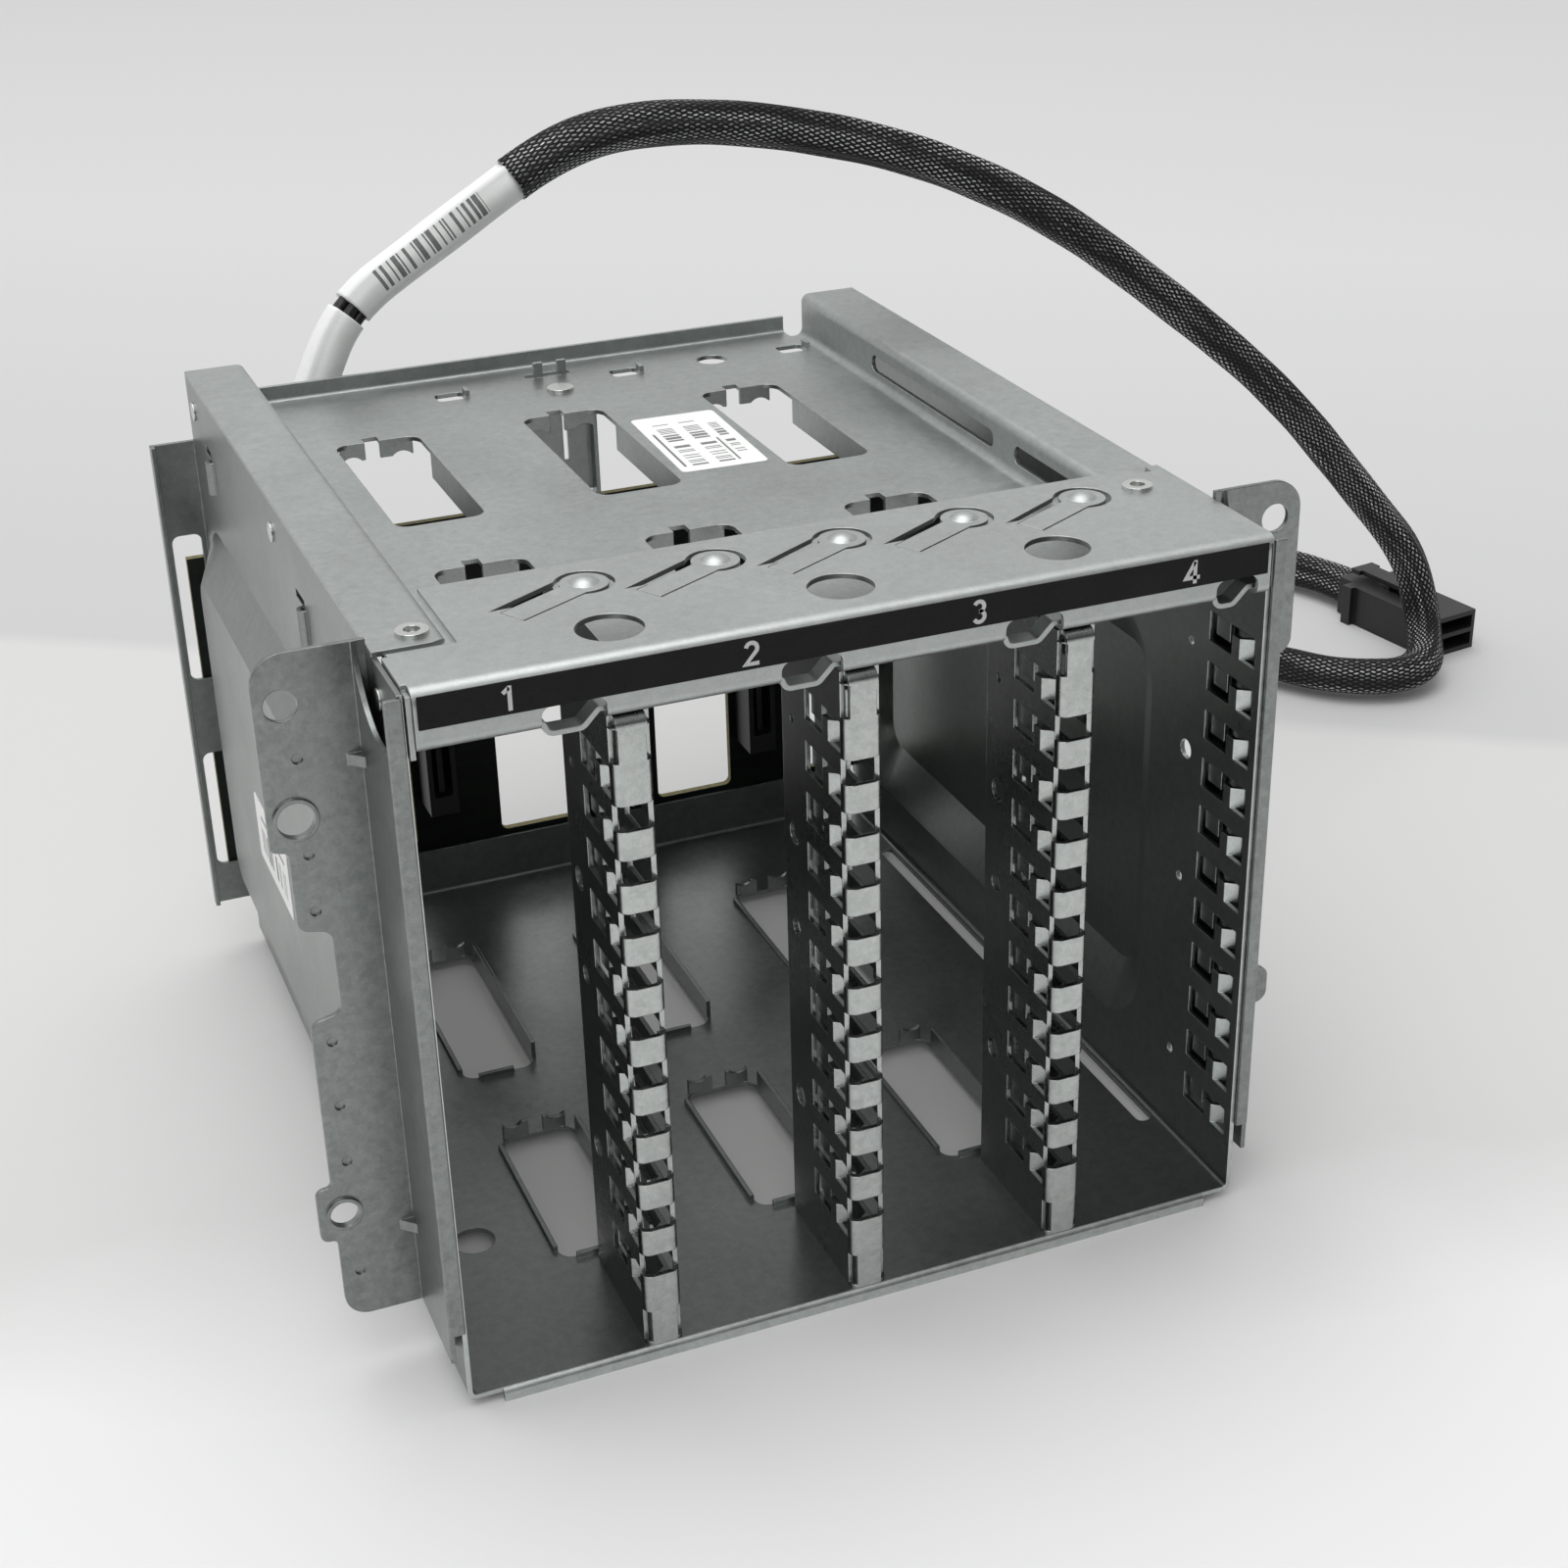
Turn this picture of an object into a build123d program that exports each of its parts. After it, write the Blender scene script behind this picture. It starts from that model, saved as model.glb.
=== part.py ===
"""Hot swap drive cage: a folded sheet steel box with four upright drive bays.

Millimetres. X runs across the bays, Y runs from the open front to the backplane,
Z is up and Z = 0 is the surface that the cage stands on. The pieces are drawn with
Y = 0 on the front face of the bay dividers. On export they all move along Y by
CENTRE_Y, so that the origin is the middle of the underside.
"""

import math
import os

from build123d import *

# Driving dimensions: sheet and box
T = 0.8  # sheet steel of every folded piece
BEND = 1.6  # outer radius of a fold
BAYS = 4
BAY_PITCH = 35.3
BAY_HEIGHT = 109.4  # clear height between floor and cover
BOX_DEPTH = 160.0  # from the dividers' front to the backplane's front face
WALL_GAP = 0.5  # what the outer bays are narrower than the inner ones
LIP = 1.5  # how far the folded front edge stands below the floor sheet
LIP_END = 5.6  # the front lip stops this far from each side wall
REAR_LIP = 10.0  # height of the floor's rear edge behind the drives
FOOT_RADIUS = 5.0
FOOT_X = 50.0
FOOT_INSET = 12.0  # centre of a foot from the floor's rear edge
FIT = 0.3  # gap beside a neighbouring sheet

# Driving dimensions: dividers
DIVIDER_WIDTH = 6.2
DIVIDER_DEPTH = 24.5
STRIP_WINDOW = 4.1  # height of the windows in a divider's front strip
STRIP_TOP_DROP = 15.9  # centre of the top window below the bay's top
STRIP_COUNT = 10
CORNER_SLOT = (1.8, 7.2)  # relief at a divider's upper corner, below the bay's top
FOOT_SLOT = (0.6, 6.4)  # relief at a divider's lower corner, above the floor
SIDE_HOLE_Y = 20.5
DIVIDER_HOLES = ((15.4, 0.8), (35.1, 1.9), (52.1, 1.5), (84.1, 1.9))  # drop, radius
WALL_HOLES = ((15.3, 0.8), (34.8, 1.7), (58.7, 0.9), (93.2, 0.9))

# Driving dimensions: guide edges, each opening with a bent tab and a set-back pad
LANCE_PITCH = 8.69
LANCE_COUNT = 11
LANCE_TOP_DROP = 10.6  # centre of the top opening below the bay's top
LANCE_HEIGHT = 5.1
LANCE_Y = (1.8, 15.2)
TAB_ROOT = 8.5
TAB_ELBOW = 6.35
TAB_REACH = 2.0  # how far a tab's free end stands behind the sheet's guide face
TAB_HEIGHT = 3.5
PAD_Y = (10.4, 14.4)
PAD_HEIGHT = 3.9

# Driving dimensions: emboss of the side walls
EMBOSS_Y = (32.0, BOX_DEPTH - 4.0)
EMBOSS_Z = (14.0, 95.0)
EMBOSS_CORNER = 14.0
EMBOSS_RISE = 4.2
EMBOSS_TAPER = 65.0  # degrees from the wall's normal

# Driving dimensions: windows of the floor and the cover
COVER_WINDOW_X = (6.05, 21.55)  # from the centre of the bay to its left
COVER_WINDOW_Y = (0.18 * BOX_DEPTH, 0.46875 * BOX_DEPTH)  # from the backplane forward
COVER_FRONT_WINDOW_Y = (0.60375 * BOX_DEPTH, 0.85625 * BOX_DEPTH)
FLOOR_WINDOW_X = (8.95, 22.45)
FLOOR_REAR_WINDOW_Y = (0.18125 * BOX_DEPTH, 0.4625 * BOX_DEPTH)
FLOOR_FRONT_WINDOW_Y = (DIVIDER_DEPTH + 2.5, 0.403125 * BOX_DEPTH)  # from the dividers' front
COVER_GUIDE = 4.6  # height of the guide along a cover window's right edge
FLOOR_GUIDE = 3.4
FLOOR_RIM = 1.0
EDGE_LIP = 2.9  # height of the scalloped lip across a window's end
SCALLOP = 2.4
SCALLOP_CUT = 0.8
WINDOW_RADIUS = 2.5

# Driving dimensions: cover and header
RAIL_WIDTH = 11.2  # flat top of each folded edge of the cover
COVER_FRONT = 9.0  # the cover starts behind the header's formed loops
COVER_REAR_DROP = 3.6  # how far the cover's raised edge stands behind the board's front
COVER_REAR_RISE = 3.1
COVER_REAR_HALF = 54.0
RAIL_END = 1.0  # the rails stop this far in front of the board
SLOT_RISE = (2.2, 5.4)  # web slots above the cover
WEB_SLOTS_Y = ((0.45 * BOX_DEPTH, 0.775 * BOX_DEPTH), (38.0, 0.4 * BOX_DEPTH))
HEADER_RISE = 9.2  # from the top cover up to the header's top
HEADER_FRONT = -1.3
HEADER_DEPTH = 36.1
HEADER_RETURN = 15.0  # how far the header's lower fold runs back
HEADER_BENDS = (2.3, 1.6)  # upper and lower fold
END_FLANGE = (0.9, 9.3)  # how far inside the left wall, and height
NOTCH_X = (4.5, 14.0)  # from the bay's centre
NOTCH_RISE = 3.6
LOOP_DROP = 0.9  # underside of a formed loop below the cover's top
HOLE_SHIFT = 0.4
HOLE_Y = 8.8
HOLE_RADIUS = 5.0
LEFT_RAIL_FRONT = 13.9
LABEL_T = 0.2
SCREW_INSET = (7.0, 8.4)  # header screws from the left and the right wall
SCREW_Y = (18.4, 26.8)
SCREW_HEAD = 2.45
SCREW_HEAD_HEIGHT = 0.6
SCREW_SHANK = 1.4

# Driving dimensions: spring fingers of the header
FINGER_COUNT = 5
FINGER_PITCH = 20.57
FINGER_FIRST_X = -32.9
FINGER_Y = 26.5
FINGER_LENGTH = 15.5  # dome to root
FINGER_EDGES = (-2.9, 1.6)  # the arm's two sides, from the line through the dome
FINGER_TIP_RADIUS = 3.7
FINGER_ANGLE = 28.7  # from +X, the finger runs from its root towards the rear right
TIP_GAP = 0.9
FINGER_GAP = 0.35
WEDGE_WIDTH = 1.7
ROOT_GAP = 0.15
DOME_RADIUS = 2.3
DOME_HEIGHT = 0.9

# Driving dimensions: side brackets
EAR_REACH = 16.2  # from the wall's outside to near the ears' outer edge
EAR_Y = 17.0
EAR_TOP_RISE = 0.9  # the left ear above its rail
BRACKET_BOTTOM = 9.8
BEAD_T = 0.9
BEAD_BOTTOM = 15.0
RELIEF_RADIUS = 12.0
DIMPLE_RADIUS = 0.8
DIMPLE_DEPTH = 0.4
DIMPLE_LEVELS = (106.6, 91.4, 82.2, 60.0, 48.7, 38.6, 18.1)
RING_WALL = 0.6
RING_RISE = 0.5
DART = 2.3
DART_HALF = 0.9
DART_LEVELS = (106.9, 26.5)

# Driving dimensions: backplane
BOARD_T = 1.6
BOARD_OVERHANG = 4.2  # how far the board reaches beyond the walls
BOARD_Z = (11.9, 84.8)
SOCKET_X = (-13.5, -7.5)  # drive connector, from its bay's centre
SOCKET_Z = (24.0, 68.0)
SOCKET_DEPTH = 8.5
SOCKET_WALL = 1.1
BOARD_WINDOW_X = (3.3, 20.2)
BOARD_WINDOW_Z = (13.5, 62.0)
REAR_FLANGE = 8.2
REAR_FLANGE_TOP = 108.4
REAR_WINDOWS_Z = ((19.0, 44.0), (60.0, 90.0))
REAR_SPACE = 9.5  # room that the sockets on the board's rear take
PLUG_X = -47.0
PLUG_SIZE = (12.0, 7.0, 12.0)
SOCKET_LIP = 1.2
POWER_Z = (74.0, 84.0)
DATA_X = (20.0, 38.0)
DATA_Z = (60.0, 68.0)

# Driving dimensions: power cord
WIRE_D = 7.2  # bundle inside the white sleeves
BRAID_D = 10.5
SLEEVE_T = 0.6
RUN_SHARE = 0.45
END_PLUG_TOP = 10.4
LATCH_LIFT = 1.4
LATCH_GAP = 0.2

# Levels and planes that follow from them
FLOOR_BOTTOM = LIP
FLOOR_TOP = FLOOR_BOTTOM + T
COVER_BOTTOM = FLOOR_TOP + BAY_HEIGHT
COVER_TOP = COVER_BOTTOM + T
HEADER_TOP = COVER_TOP + HEADER_RISE
HEADER_UNDER = HEADER_TOP - T
HEADER_REAR = HEADER_FRONT + HEADER_DEPTH
RIGHT_RAIL_TOP = HEADER_UNDER
LEFT_RAIL_BOTTOM = HEADER_UNDER + 0.2
LEFT_RAIL_TOP = LEFT_RAIL_BOTTOM + T
WALL_IN = BAYS * BAY_PITCH / 2 - DIVIDER_WIDTH / 2 - WALL_GAP
WALL_OUT = WALL_IN + T
WEB_X = WALL_OUT - RAIL_WIDTH
BOARD_FRONT = BOX_DEPTH
BOARD_REAR = BOARD_FRONT + BOARD_T
RAIL_REAR = BOARD_FRONT - RAIL_END
COVER_REAR = BOARD_FRONT + COVER_REAR_DROP
BAY_CENTRES = [(i - (BAYS - 1) / 2) * BAY_PITCH for i in range(BAYS)]
DIVIDERS_X = [(i - (BAYS - 2) / 2) * BAY_PITCH for i in range(BAYS - 1)]
HEADER_X = (1.8 - WALL_OUT, WALL_OUT - 0.2)
NOTCH_TOP = COVER_TOP + NOTCH_RISE
LOOP_BOTTOM = COVER_TOP - LOOP_DROP
LEG_X = WALL_IN + TAB_REACH + 0.1
EAR_TOP = LEFT_RAIL_TOP + EAR_TOP_RISE
EAR_X = WALL_OUT + EAR_REACH
BOARD_HALF_WIDTH = WALL_OUT + BOARD_OVERHANG
SCREWS = [(SCREW_INSET[0] - WALL_OUT, SCREW_Y[0]), (WALL_OUT - SCREW_INSET[1], SCREW_Y[1])]
FRONT_Y = HEADER_FRONT - LABEL_T
REAR_Y = BOARD_REAR + REAR_SPACE
CENTRE_Y = (FRONT_Y + REAR_Y) / 2

# Cord routes, points chosen by hand
LEAD_ROUTE = [
    (-47, 166.35, 88),
    (-47, 166.35, 100),
    (-41.8, 169.5, 113),
    (-33.5, 172.5, 126.5),
    (-17, 175, 135.3),
    (2.4, 176, 146.3),
]
BRAID_ROUTE = [
    (2.4, 176, 146.3),
    (13.555, 176.575, 152.625),
    (34, 177.5, 154.6),
    (60, 178, 151.2),
    (92, 178, 141.8),
    (124, 178, 125.5),
    (155, 177.5, 102),
    (184.5, 177, 77),
    (210, 176.5, 47.5),
    (225, 176.5, 30),
    (231, 176, 9.5),
    (219.5, 158.5, 5.6),
    (199.5, 166, 5.6),
    (189, 184, 5.6),
    (172, 203, 5.6),
    (163, 227, 5.6),
    (174, 250, 5.6),
    (198, 256, 5.6),
    (219, 245, 5.6),
    (233, 229.5, 5.6),
    (235.5, 213, 5.6),
]

pieces = {}


# Helpers

def span(a, b):
    """A rectangle between two limits on each axis of a sketch."""
    return Pos((a[0] + a[1]) / 2, (b[0] + b[1]) / 2) * Rectangle(a[1] - a[0], b[1] - b[0])


def round_span(a, b, radius):
    """The same with rounded corners."""
    return Pos((a[0] + a[1]) / 2, (b[0] + b[1]) / 2) * RectangleRounded(
        a[1] - a[0], b[1] - b[0], radius
    )


def rounded(points, radii):
    """A closed outline whose corners, but for its first and last, are rounded."""
    line = FilletPolyline(*points, radius=radii)
    return make_face(line.edges() + Line(points[-1], points[0]).edges())


def along_x(sketch, x):
    """Extrude a sketch drawn in (Y, Z) between two X."""
    return extrude(Plane.YZ.offset(x[0]) * sketch, x[1] - x[0])


def along_y(sketch, y):
    """Extrude a sketch drawn in (X, Z) between two Y."""
    return extrude(Plane.XZ.offset(-y[1]) * sketch, y[1] - y[0])


def along_z(sketch, z):
    """Extrude a sketch drawn in (X, Y) between two Z."""
    return extrude(Plane.XY.offset(z[0]) * sketch, z[1] - z[0])


def block(x, y, z):
    """A block between two limits on each axis."""
    return along_z(span(x, y), z)


def rod_x(y, z, radius, x):
    return along_x(Pos(y, z) * Circle(radius), x)


def rod_y(x, z, radius, y):
    return along_y(Pos(x, z) * Circle(radius), y)


def rod_z(x, y, radius, z):
    return along_z(Pos(x, y) * Circle(radius), z)


def folded(points, side=Side.RIGHT, bend=BEND):
    """Cross-section of a folded sheet whose outer face follows the points."""
    line = FilletPolyline(*points, radius=bend)
    return make_face(offset(line, amount=T, side=side, closed=True).edges())


# Guide edges

def lance_levels():
    """Bottom and top of each opening of a guide edge."""
    top = COVER_BOTTOM - LANCE_TOP_DROP
    centres = [top - i * LANCE_PITCH for i in range(LANCE_COUNT)]
    return [(z - LANCE_HEIGHT / 2, z + LANCE_HEIGHT / 2) for z in centres]


def lance_openings(face_x, away):
    """Openings of one guide edge in a sheet that starts at face_x and goes away."""
    x = sorted((face_x - away * T / 2, face_x + away * 1.5 * T))
    return [block(x, LANCE_Y, z) for z in lance_levels()]


def lance_tabs(face_x, away):
    """Bent guide tabs, rooted on the lower edge, and pads hung from the upper edge."""
    rise = (TAB_REACH + T / 2) * 0.6
    tab = Polygon(
        (face_x, TAB_ROOT),
        (face_x, TAB_ELBOW),
        (face_x + away * TAB_REACH, TAB_ELBOW - rise),
        (face_x + away * TAB_REACH, TAB_ELBOW - rise + 1.2 * T),
        (face_x + away * T, TAB_ELBOW + 0.5 * T),
        (face_x + away * T, TAB_ROOT),
        align=None,
    )
    pad_x = sorted((face_x + away * T, face_x + away * 2 * T))
    made = []
    for low, high in lance_levels():
        made.append(along_z(tab, (low, low + TAB_HEIGHT)))
        made.append(block(pad_x, PAD_Y, (high - PAD_HEIGHT, high + T)))
    return made


def divider(x):
    """Hollow upright between two bays: a channel with a windowed front strip."""
    half = DIVIDER_WIDTH / 2
    across = (-half - 1, half + 1)
    section = folded(
        [(-half, DIVIDER_DEPTH), (-half, 0), (half, 0), (half, DIVIDER_DEPTH)], Side.LEFT
    )
    body = along_z(section, (FLOOR_TOP, COVER_BOTTOM))
    body -= block(across, (-1, BEND), (COVER_BOTTOM - BEND, COVER_BOTTOM + 1))
    top_fold = folded([(0, COVER_BOTTOM - 2 * BEND), (0, COVER_BOTTOM), (6.0, COVER_BOTTOM)])
    body += along_x(top_fold, (-half + T, half - T))
    for side in (-1, 1):
        corner = sorted((side * (half + 1), side * (half - T - 0.2)))
        top_slot = (COVER_BOTTOM - CORNER_SLOT[1], COVER_BOTTOM - CORNER_SLOT[0])
        foot_slot = (FLOOR_TOP + FOOT_SLOT[0], FLOOR_TOP + FOOT_SLOT[1])
        for z in (top_slot, foot_slot):
            body -= block(corner, (-1, BEND), z)
    window_top = COVER_BOTTOM - STRIP_TOP_DROP
    for i in range(STRIP_COUNT):
        z = window_top - i * LANCE_PITCH
        body -= block(across, (-1, BEND), (z - STRIP_WINDOW / 2, z + STRIP_WINDOW / 2))
    body -= lance_openings(-half, 1) + lance_openings(half, -1)
    body += lance_tabs(-half, 1) + lance_tabs(half, -1)
    for drop, radius in DIVIDER_HOLES:
        body -= rod_x(SIDE_HOLE_Y, COVER_BOTTOM - drop, radius, across)
    return Pos(x, 0, 0) * body


# Folded box

def emboss(side):
    """Outward bulge of a side wall: the outer skin, and the hollow behind it."""
    middle = (sum(EMBOSS_Y) / 2, sum(EMBOSS_Z) / 2)
    size = (EMBOSS_Y[1] - EMBOSS_Y[0], EMBOSS_Z[1] - EMBOSS_Z[0])
    outline = RectangleRounded(*size, EMBOSS_CORNER)
    start = (side * (WALL_OUT - 0.01), *middle)
    place = Plane(start, x_dir=(0, 1, 0), z_dir=(side, 0, 0))
    outer = extrude(place * outline, EMBOSS_RISE, taper=EMBOSS_TAPER)
    return outer, Pos(-side * T, 0, 0) * outer


def scalloped_lip(x, y, z, down):
    """Wavy edge bent off the rear end of a window, with a square notch in it."""
    low, high = (z - EDGE_LIP, z) if down else (z, z + EDGE_LIP)
    free = low if down else high
    wave = span((x[0] + 1.0, x[1] - 1.0), (low, high))
    centre = free - SCALLOP + SCALLOP_CUT if down else free + SCALLOP - SCALLOP_CUT
    for share in (0.2, 0.8):
        wave -= Pos(x[0] + share * (x[1] - x[0]), centre) * Circle(SCALLOP)
    wave -= span((x[0] + 5.6, x[0] + 8.4), (low - 1, high + 1))
    return along_y(wave, y)


def cage_pan():
    """Floor and both side walls, folded from one sheet."""
    section = folded([
        (-WALL_OUT, LEFT_RAIL_BOTTOM),
        (-WALL_OUT, FLOOR_BOTTOM),
        (WALL_OUT, FLOOR_BOTTOM),
        (WALL_OUT, RIGHT_RAIL_TOP - T),
    ], Side.LEFT)
    body = along_y(section, (0, BOX_DEPTH - T))
    for side in (-1, 1):
        outer, inner = emboss(side)
        body = body - inner + (outer - inner)

    lip_x = (LIP_END - WALL_OUT, WALL_OUT - LIP_END)
    lip = folded([(4.0, FLOOR_TOP), (-0.7, FLOOR_TOP), (-0.7, 0)], Side.LEFT, 1.2)
    body += along_x(lip, lip_x)
    rear_lip = folded([
        (BOX_DEPTH - 6.0, FLOOR_BOTTOM),
        (BOX_DEPTH, FLOOR_BOTTOM),
        (BOX_DEPTH, FLOOR_TOP + REAR_LIP),
    ], Side.LEFT)
    body += along_x(rear_lip, (1 - WALL_IN, WALL_IN - 1))
    through = (FLOOR_BOTTOM - 1, FLOOR_TOP + 1)
    foot_y = BOX_DEPTH - FOOT_INSET
    for side in (-1, 1):
        flange_x = sorted((side * WALL_IN, side * (WALL_OUT + REAR_FLANGE)))
        flange_z = (FLOOR_BOTTOM + 9.0, REAR_FLANGE_TOP)
        flange = block(flange_x, (BOX_DEPTH - T, BOX_DEPTH), flange_z)
        edge_x = sorted((side * (WALL_OUT + REAR_FLANGE - T), side * (WALL_OUT + REAR_FLANGE)))
        flange += block(edge_x, (BOX_DEPTH - 3 * T, BOX_DEPTH), flange_z)
        cut_x = sorted((side * (WALL_OUT + 1.0), side * (WALL_OUT + REAR_FLANGE - 1.6)))
        for z in REAR_WINDOWS_Z:
            flange -= along_y(round_span(cut_x, z, 1.5), (BOX_DEPTH - 2, BOX_DEPTH + 1))
        body += flange
        body += rod_z(side * FOOT_X, foot_y, FOOT_RADIUS, (0, FLOOR_BOTTOM))
        body -= rod_z(side * FOOT_X, foot_y, FOOT_RADIUS - T, (T, FLOOR_TOP + 1))

    rear_window = (BOARD_FRONT - FLOOR_REAR_WINDOW_Y[1], BOARD_FRONT - FLOOR_REAR_WINDOW_Y[0])
    for centre in BAY_CENTRES[:-1]:
        x = (centre + FLOOR_WINDOW_X[0], centre + FLOOR_WINDOW_X[1])
        for y in (FLOOR_FRONT_WINDOW_Y, rear_window):
            body -= along_z(round_span(x, y, WINDOW_RADIUS), through)
            rim_y = (y[0] + WINDOW_RADIUS, y[1] - WINDOW_RADIUS)
            rim_z = (FLOOR_TOP - T / 2, FLOOR_TOP + FLOOR_GUIDE)
            body += block((x[1], x[1] + T), rim_y, rim_z)
            body += block((x[0] - T, x[0]), rim_y, (rim_z[0], FLOOR_TOP + FLOOR_RIM))
            body += scalloped_lip(x, (y[1], y[1] + T), FLOOR_TOP, False)
            front_lip = span((x[0] + 2.4, x[1] - 4.4), (rim_z[0], FLOOR_TOP + FLOOR_RIM))
            body += along_y(front_lip, (y[0] - T, y[0]))
    slot_x = (WALL_IN - 4.0, WALL_IN - 1.2)
    body -= along_z(round_span(slot_x, (23.0, BOX_DEPTH - 23.0), 1.3), through)
    body -= rod_z(10.9 - WALL_IN, 38.0, 3.5, through)

    body -= lance_openings(-WALL_IN, -1) + lance_openings(WALL_IN, 1)
    body += lance_tabs(-WALL_IN, -1) + lance_tabs(WALL_IN, 1)
    for drop, radius in WALL_HOLES:
        z = COVER_BOTTOM - drop
        body -= rod_x(SIDE_HOLE_Y, z, radius, (WALL_IN - 1, WALL_OUT + 1))
    for y in (0.384375 * BOX_DEPTH, BOX_DEPTH - 21.5):
        body -= wall_slot(y)
        body += wall_trough(y)
    return body


def wall_slot(y):
    """Slot above a formed trough near the left wall's top."""
    x = (-WALL_OUT - 1, 1 - WALL_OUT)
    return block(x, (y - 0.5, y + 6.0), (COVER_TOP - 1.8, COVER_TOP - 0.4))


def wall_trough(y):
    """Half-round trough that guides a hook into the slot above it."""
    middle = (-WALL_OUT, y)
    ring = Pos(*middle) * Circle(T + 0.5) - Pos(*middle) * Circle(0.5)
    half = ring & span((-WALL_OUT - 4, 0.01 - WALL_OUT), (y - 4, y + 4))
    return along_z(half, (COVER_TOP - 7.9, COVER_TOP - 1.8))


def top_cover():
    """Recessed cover with a folded edge along each side and a raised rear edge."""
    left = folded([
        (-WALL_OUT, LEFT_RAIL_TOP),
        (-WEB_X, LEFT_RAIL_TOP),
        (-WEB_X, COVER_TOP),
        (0, COVER_TOP),
    ])
    right = folded([
        (0, COVER_TOP),
        (WEB_X, COVER_TOP),
        (WEB_X, RIGHT_RAIL_TOP),
        (WALL_OUT, RIGHT_RAIL_TOP),
    ])
    body = along_y(left, (COVER_FRONT, RAIL_REAR)) + along_y(right, (COVER_FRONT, RAIL_REAR))
    whole = (COVER_BOTTOM - 1, LEFT_RAIL_TOP + 1)
    below_rail = (COVER_BOTTOM - 1, LEFT_RAIL_BOTTOM)
    front = (0, HEADER_RETURN + FIT)
    body -= block((WEB_X - BEND, WALL_OUT + 1), front, whole)
    body -= block((-WALL_OUT - 1, BEND - WEB_X), (0, LEFT_RAIL_FRONT), whole)
    body -= block((-WALL_OUT - 1, BEND - WEB_X), front, below_rail)
    under_plateau = (COVER_TOP + BEND, LEFT_RAIL_BOTTOM)
    body -= block((-WALL_OUT - 1, BEND - WEB_X), (0, HEADER_REAR + FIT), under_plateau)

    rear_edge = folded([
        (RAIL_REAR - 8.0, COVER_BOTTOM),
        (COVER_REAR, COVER_BOTTOM),
        (COVER_REAR, COVER_TOP + COVER_REAR_RISE),
    ], Side.LEFT)
    body += along_x(rear_edge, (-COVER_REAR_HALF, COVER_REAR_HALF))

    through = (COVER_BOTTOM - 1, COVER_TOP + 1)
    rear_window = (BOARD_FRONT - COVER_WINDOW_Y[1], BOARD_FRONT - COVER_WINDOW_Y[0])
    front_window = (BOARD_FRONT - COVER_FRONT_WINDOW_Y[1], BOARD_FRONT - COVER_FRONT_WINDOW_Y[0])
    lip_z = COVER_BOTTOM + T / 2
    for centre in BAY_CENTRES[:-1]:
        x = (centre + COVER_WINDOW_X[0], centre + COVER_WINDOW_X[1])
        for y in (rear_window, front_window):
            body -= along_z(round_span(x, y, WINDOW_RADIUS), through)
            notch_x = (x[0] + 5.6, x[0] + 8.4)
            body -= block(notch_x, (y[1] - 0.5, y[1] + 2.6), through)
            guide_z = (COVER_BOTTOM - COVER_GUIDE, COVER_TOP - T / 2)
            body += block((x[1], x[1] + T), (y[0] + WINDOW_RADIUS, y[1] - 9.0), guide_z)
            body += scalloped_lip(x, (y[1], y[1] + T), lip_z, True)

    row_y = (BOARD_FRONT - 11.5, BOARD_FRONT - 7.0)
    for centre in BAY_CENTRES[:-1]:
        x = centre + 30.4
        body -= along_z(round_span((x, x + 5.4), row_y, 1.0), through)
        lug_z = (COVER_TOP - T / 2, COVER_TOP + 1.3)
        body += block((x + 5.4, x + 5.4 + T), (row_y[0] + 0.8, row_y[1] - 1.2), lug_z)
    body -= block((-3.2, 5.8), (BOARD_FRONT - 4.4, BOARD_FRONT - 2.4), through)
    for x in (-1.8, 3.0):
        lug_y = (BOARD_FRONT - 4.4 - T, BOARD_FRONT - 4.4)
        body += block((x, x + 1.8), lug_y, (COVER_TOP - T / 2, COVER_TOP + 3.0))
    body -= rod_z(33.8, BOARD_FRONT - 9.0, 3.0, through)
    body += board_tongue()

    web_z = (COVER_TOP + SLOT_RISE[0], COVER_TOP + SLOT_RISE[1])
    for y in WEB_SLOTS_Y:
        body -= along_x(round_span(y, web_z, 1.5), (WEB_X - 2 * T, WEB_X + T))
    corner = (3.0 - WEB_X - 6.0, LEFT_RAIL_FRONT + 3.0)
    cut = span((corner[0], 1 - WEB_X), (LEFT_RAIL_FRONT - 1, corner[1])) - Pos(*corner) * Circle(3.0)
    body -= along_z(cut, (LEFT_RAIL_BOTTOM - 1, LEFT_RAIL_TOP + 1))
    x, y = SCREWS[0]
    body -= rod_z(x, y, SCREW_SHANK + FIT / 2, (LEFT_RAIL_BOTTOM - 1, LEFT_RAIL_TOP + 1))
    x, y = SCREWS[1]
    body -= rod_z(x, y, SCREW_SHANK + FIT / 2, (RIGHT_RAIL_TOP - 2, RIGHT_RAIL_TOP + 1))
    return body


def board_tongue():
    """Slotted plate with a folded edge that hangs from the cover in front of the board."""
    y = (BOARD_FRONT - 4.4 - T, BOARD_FRONT - 4.4)
    top = COVER_BOTTOM + T / 2
    plate = block((-3.0, 9.7), y, (BOARD_Z[1] + 3.6, top)) - block((3.3, 4.3), (y[0] - 1, y[1] + 1), (95.0, 106.0))
    return plate + block((9.7 - T, 9.7), (y[0] - 2.4, y[1]), (BOARD_Z[1] + 0.6, top))


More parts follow.
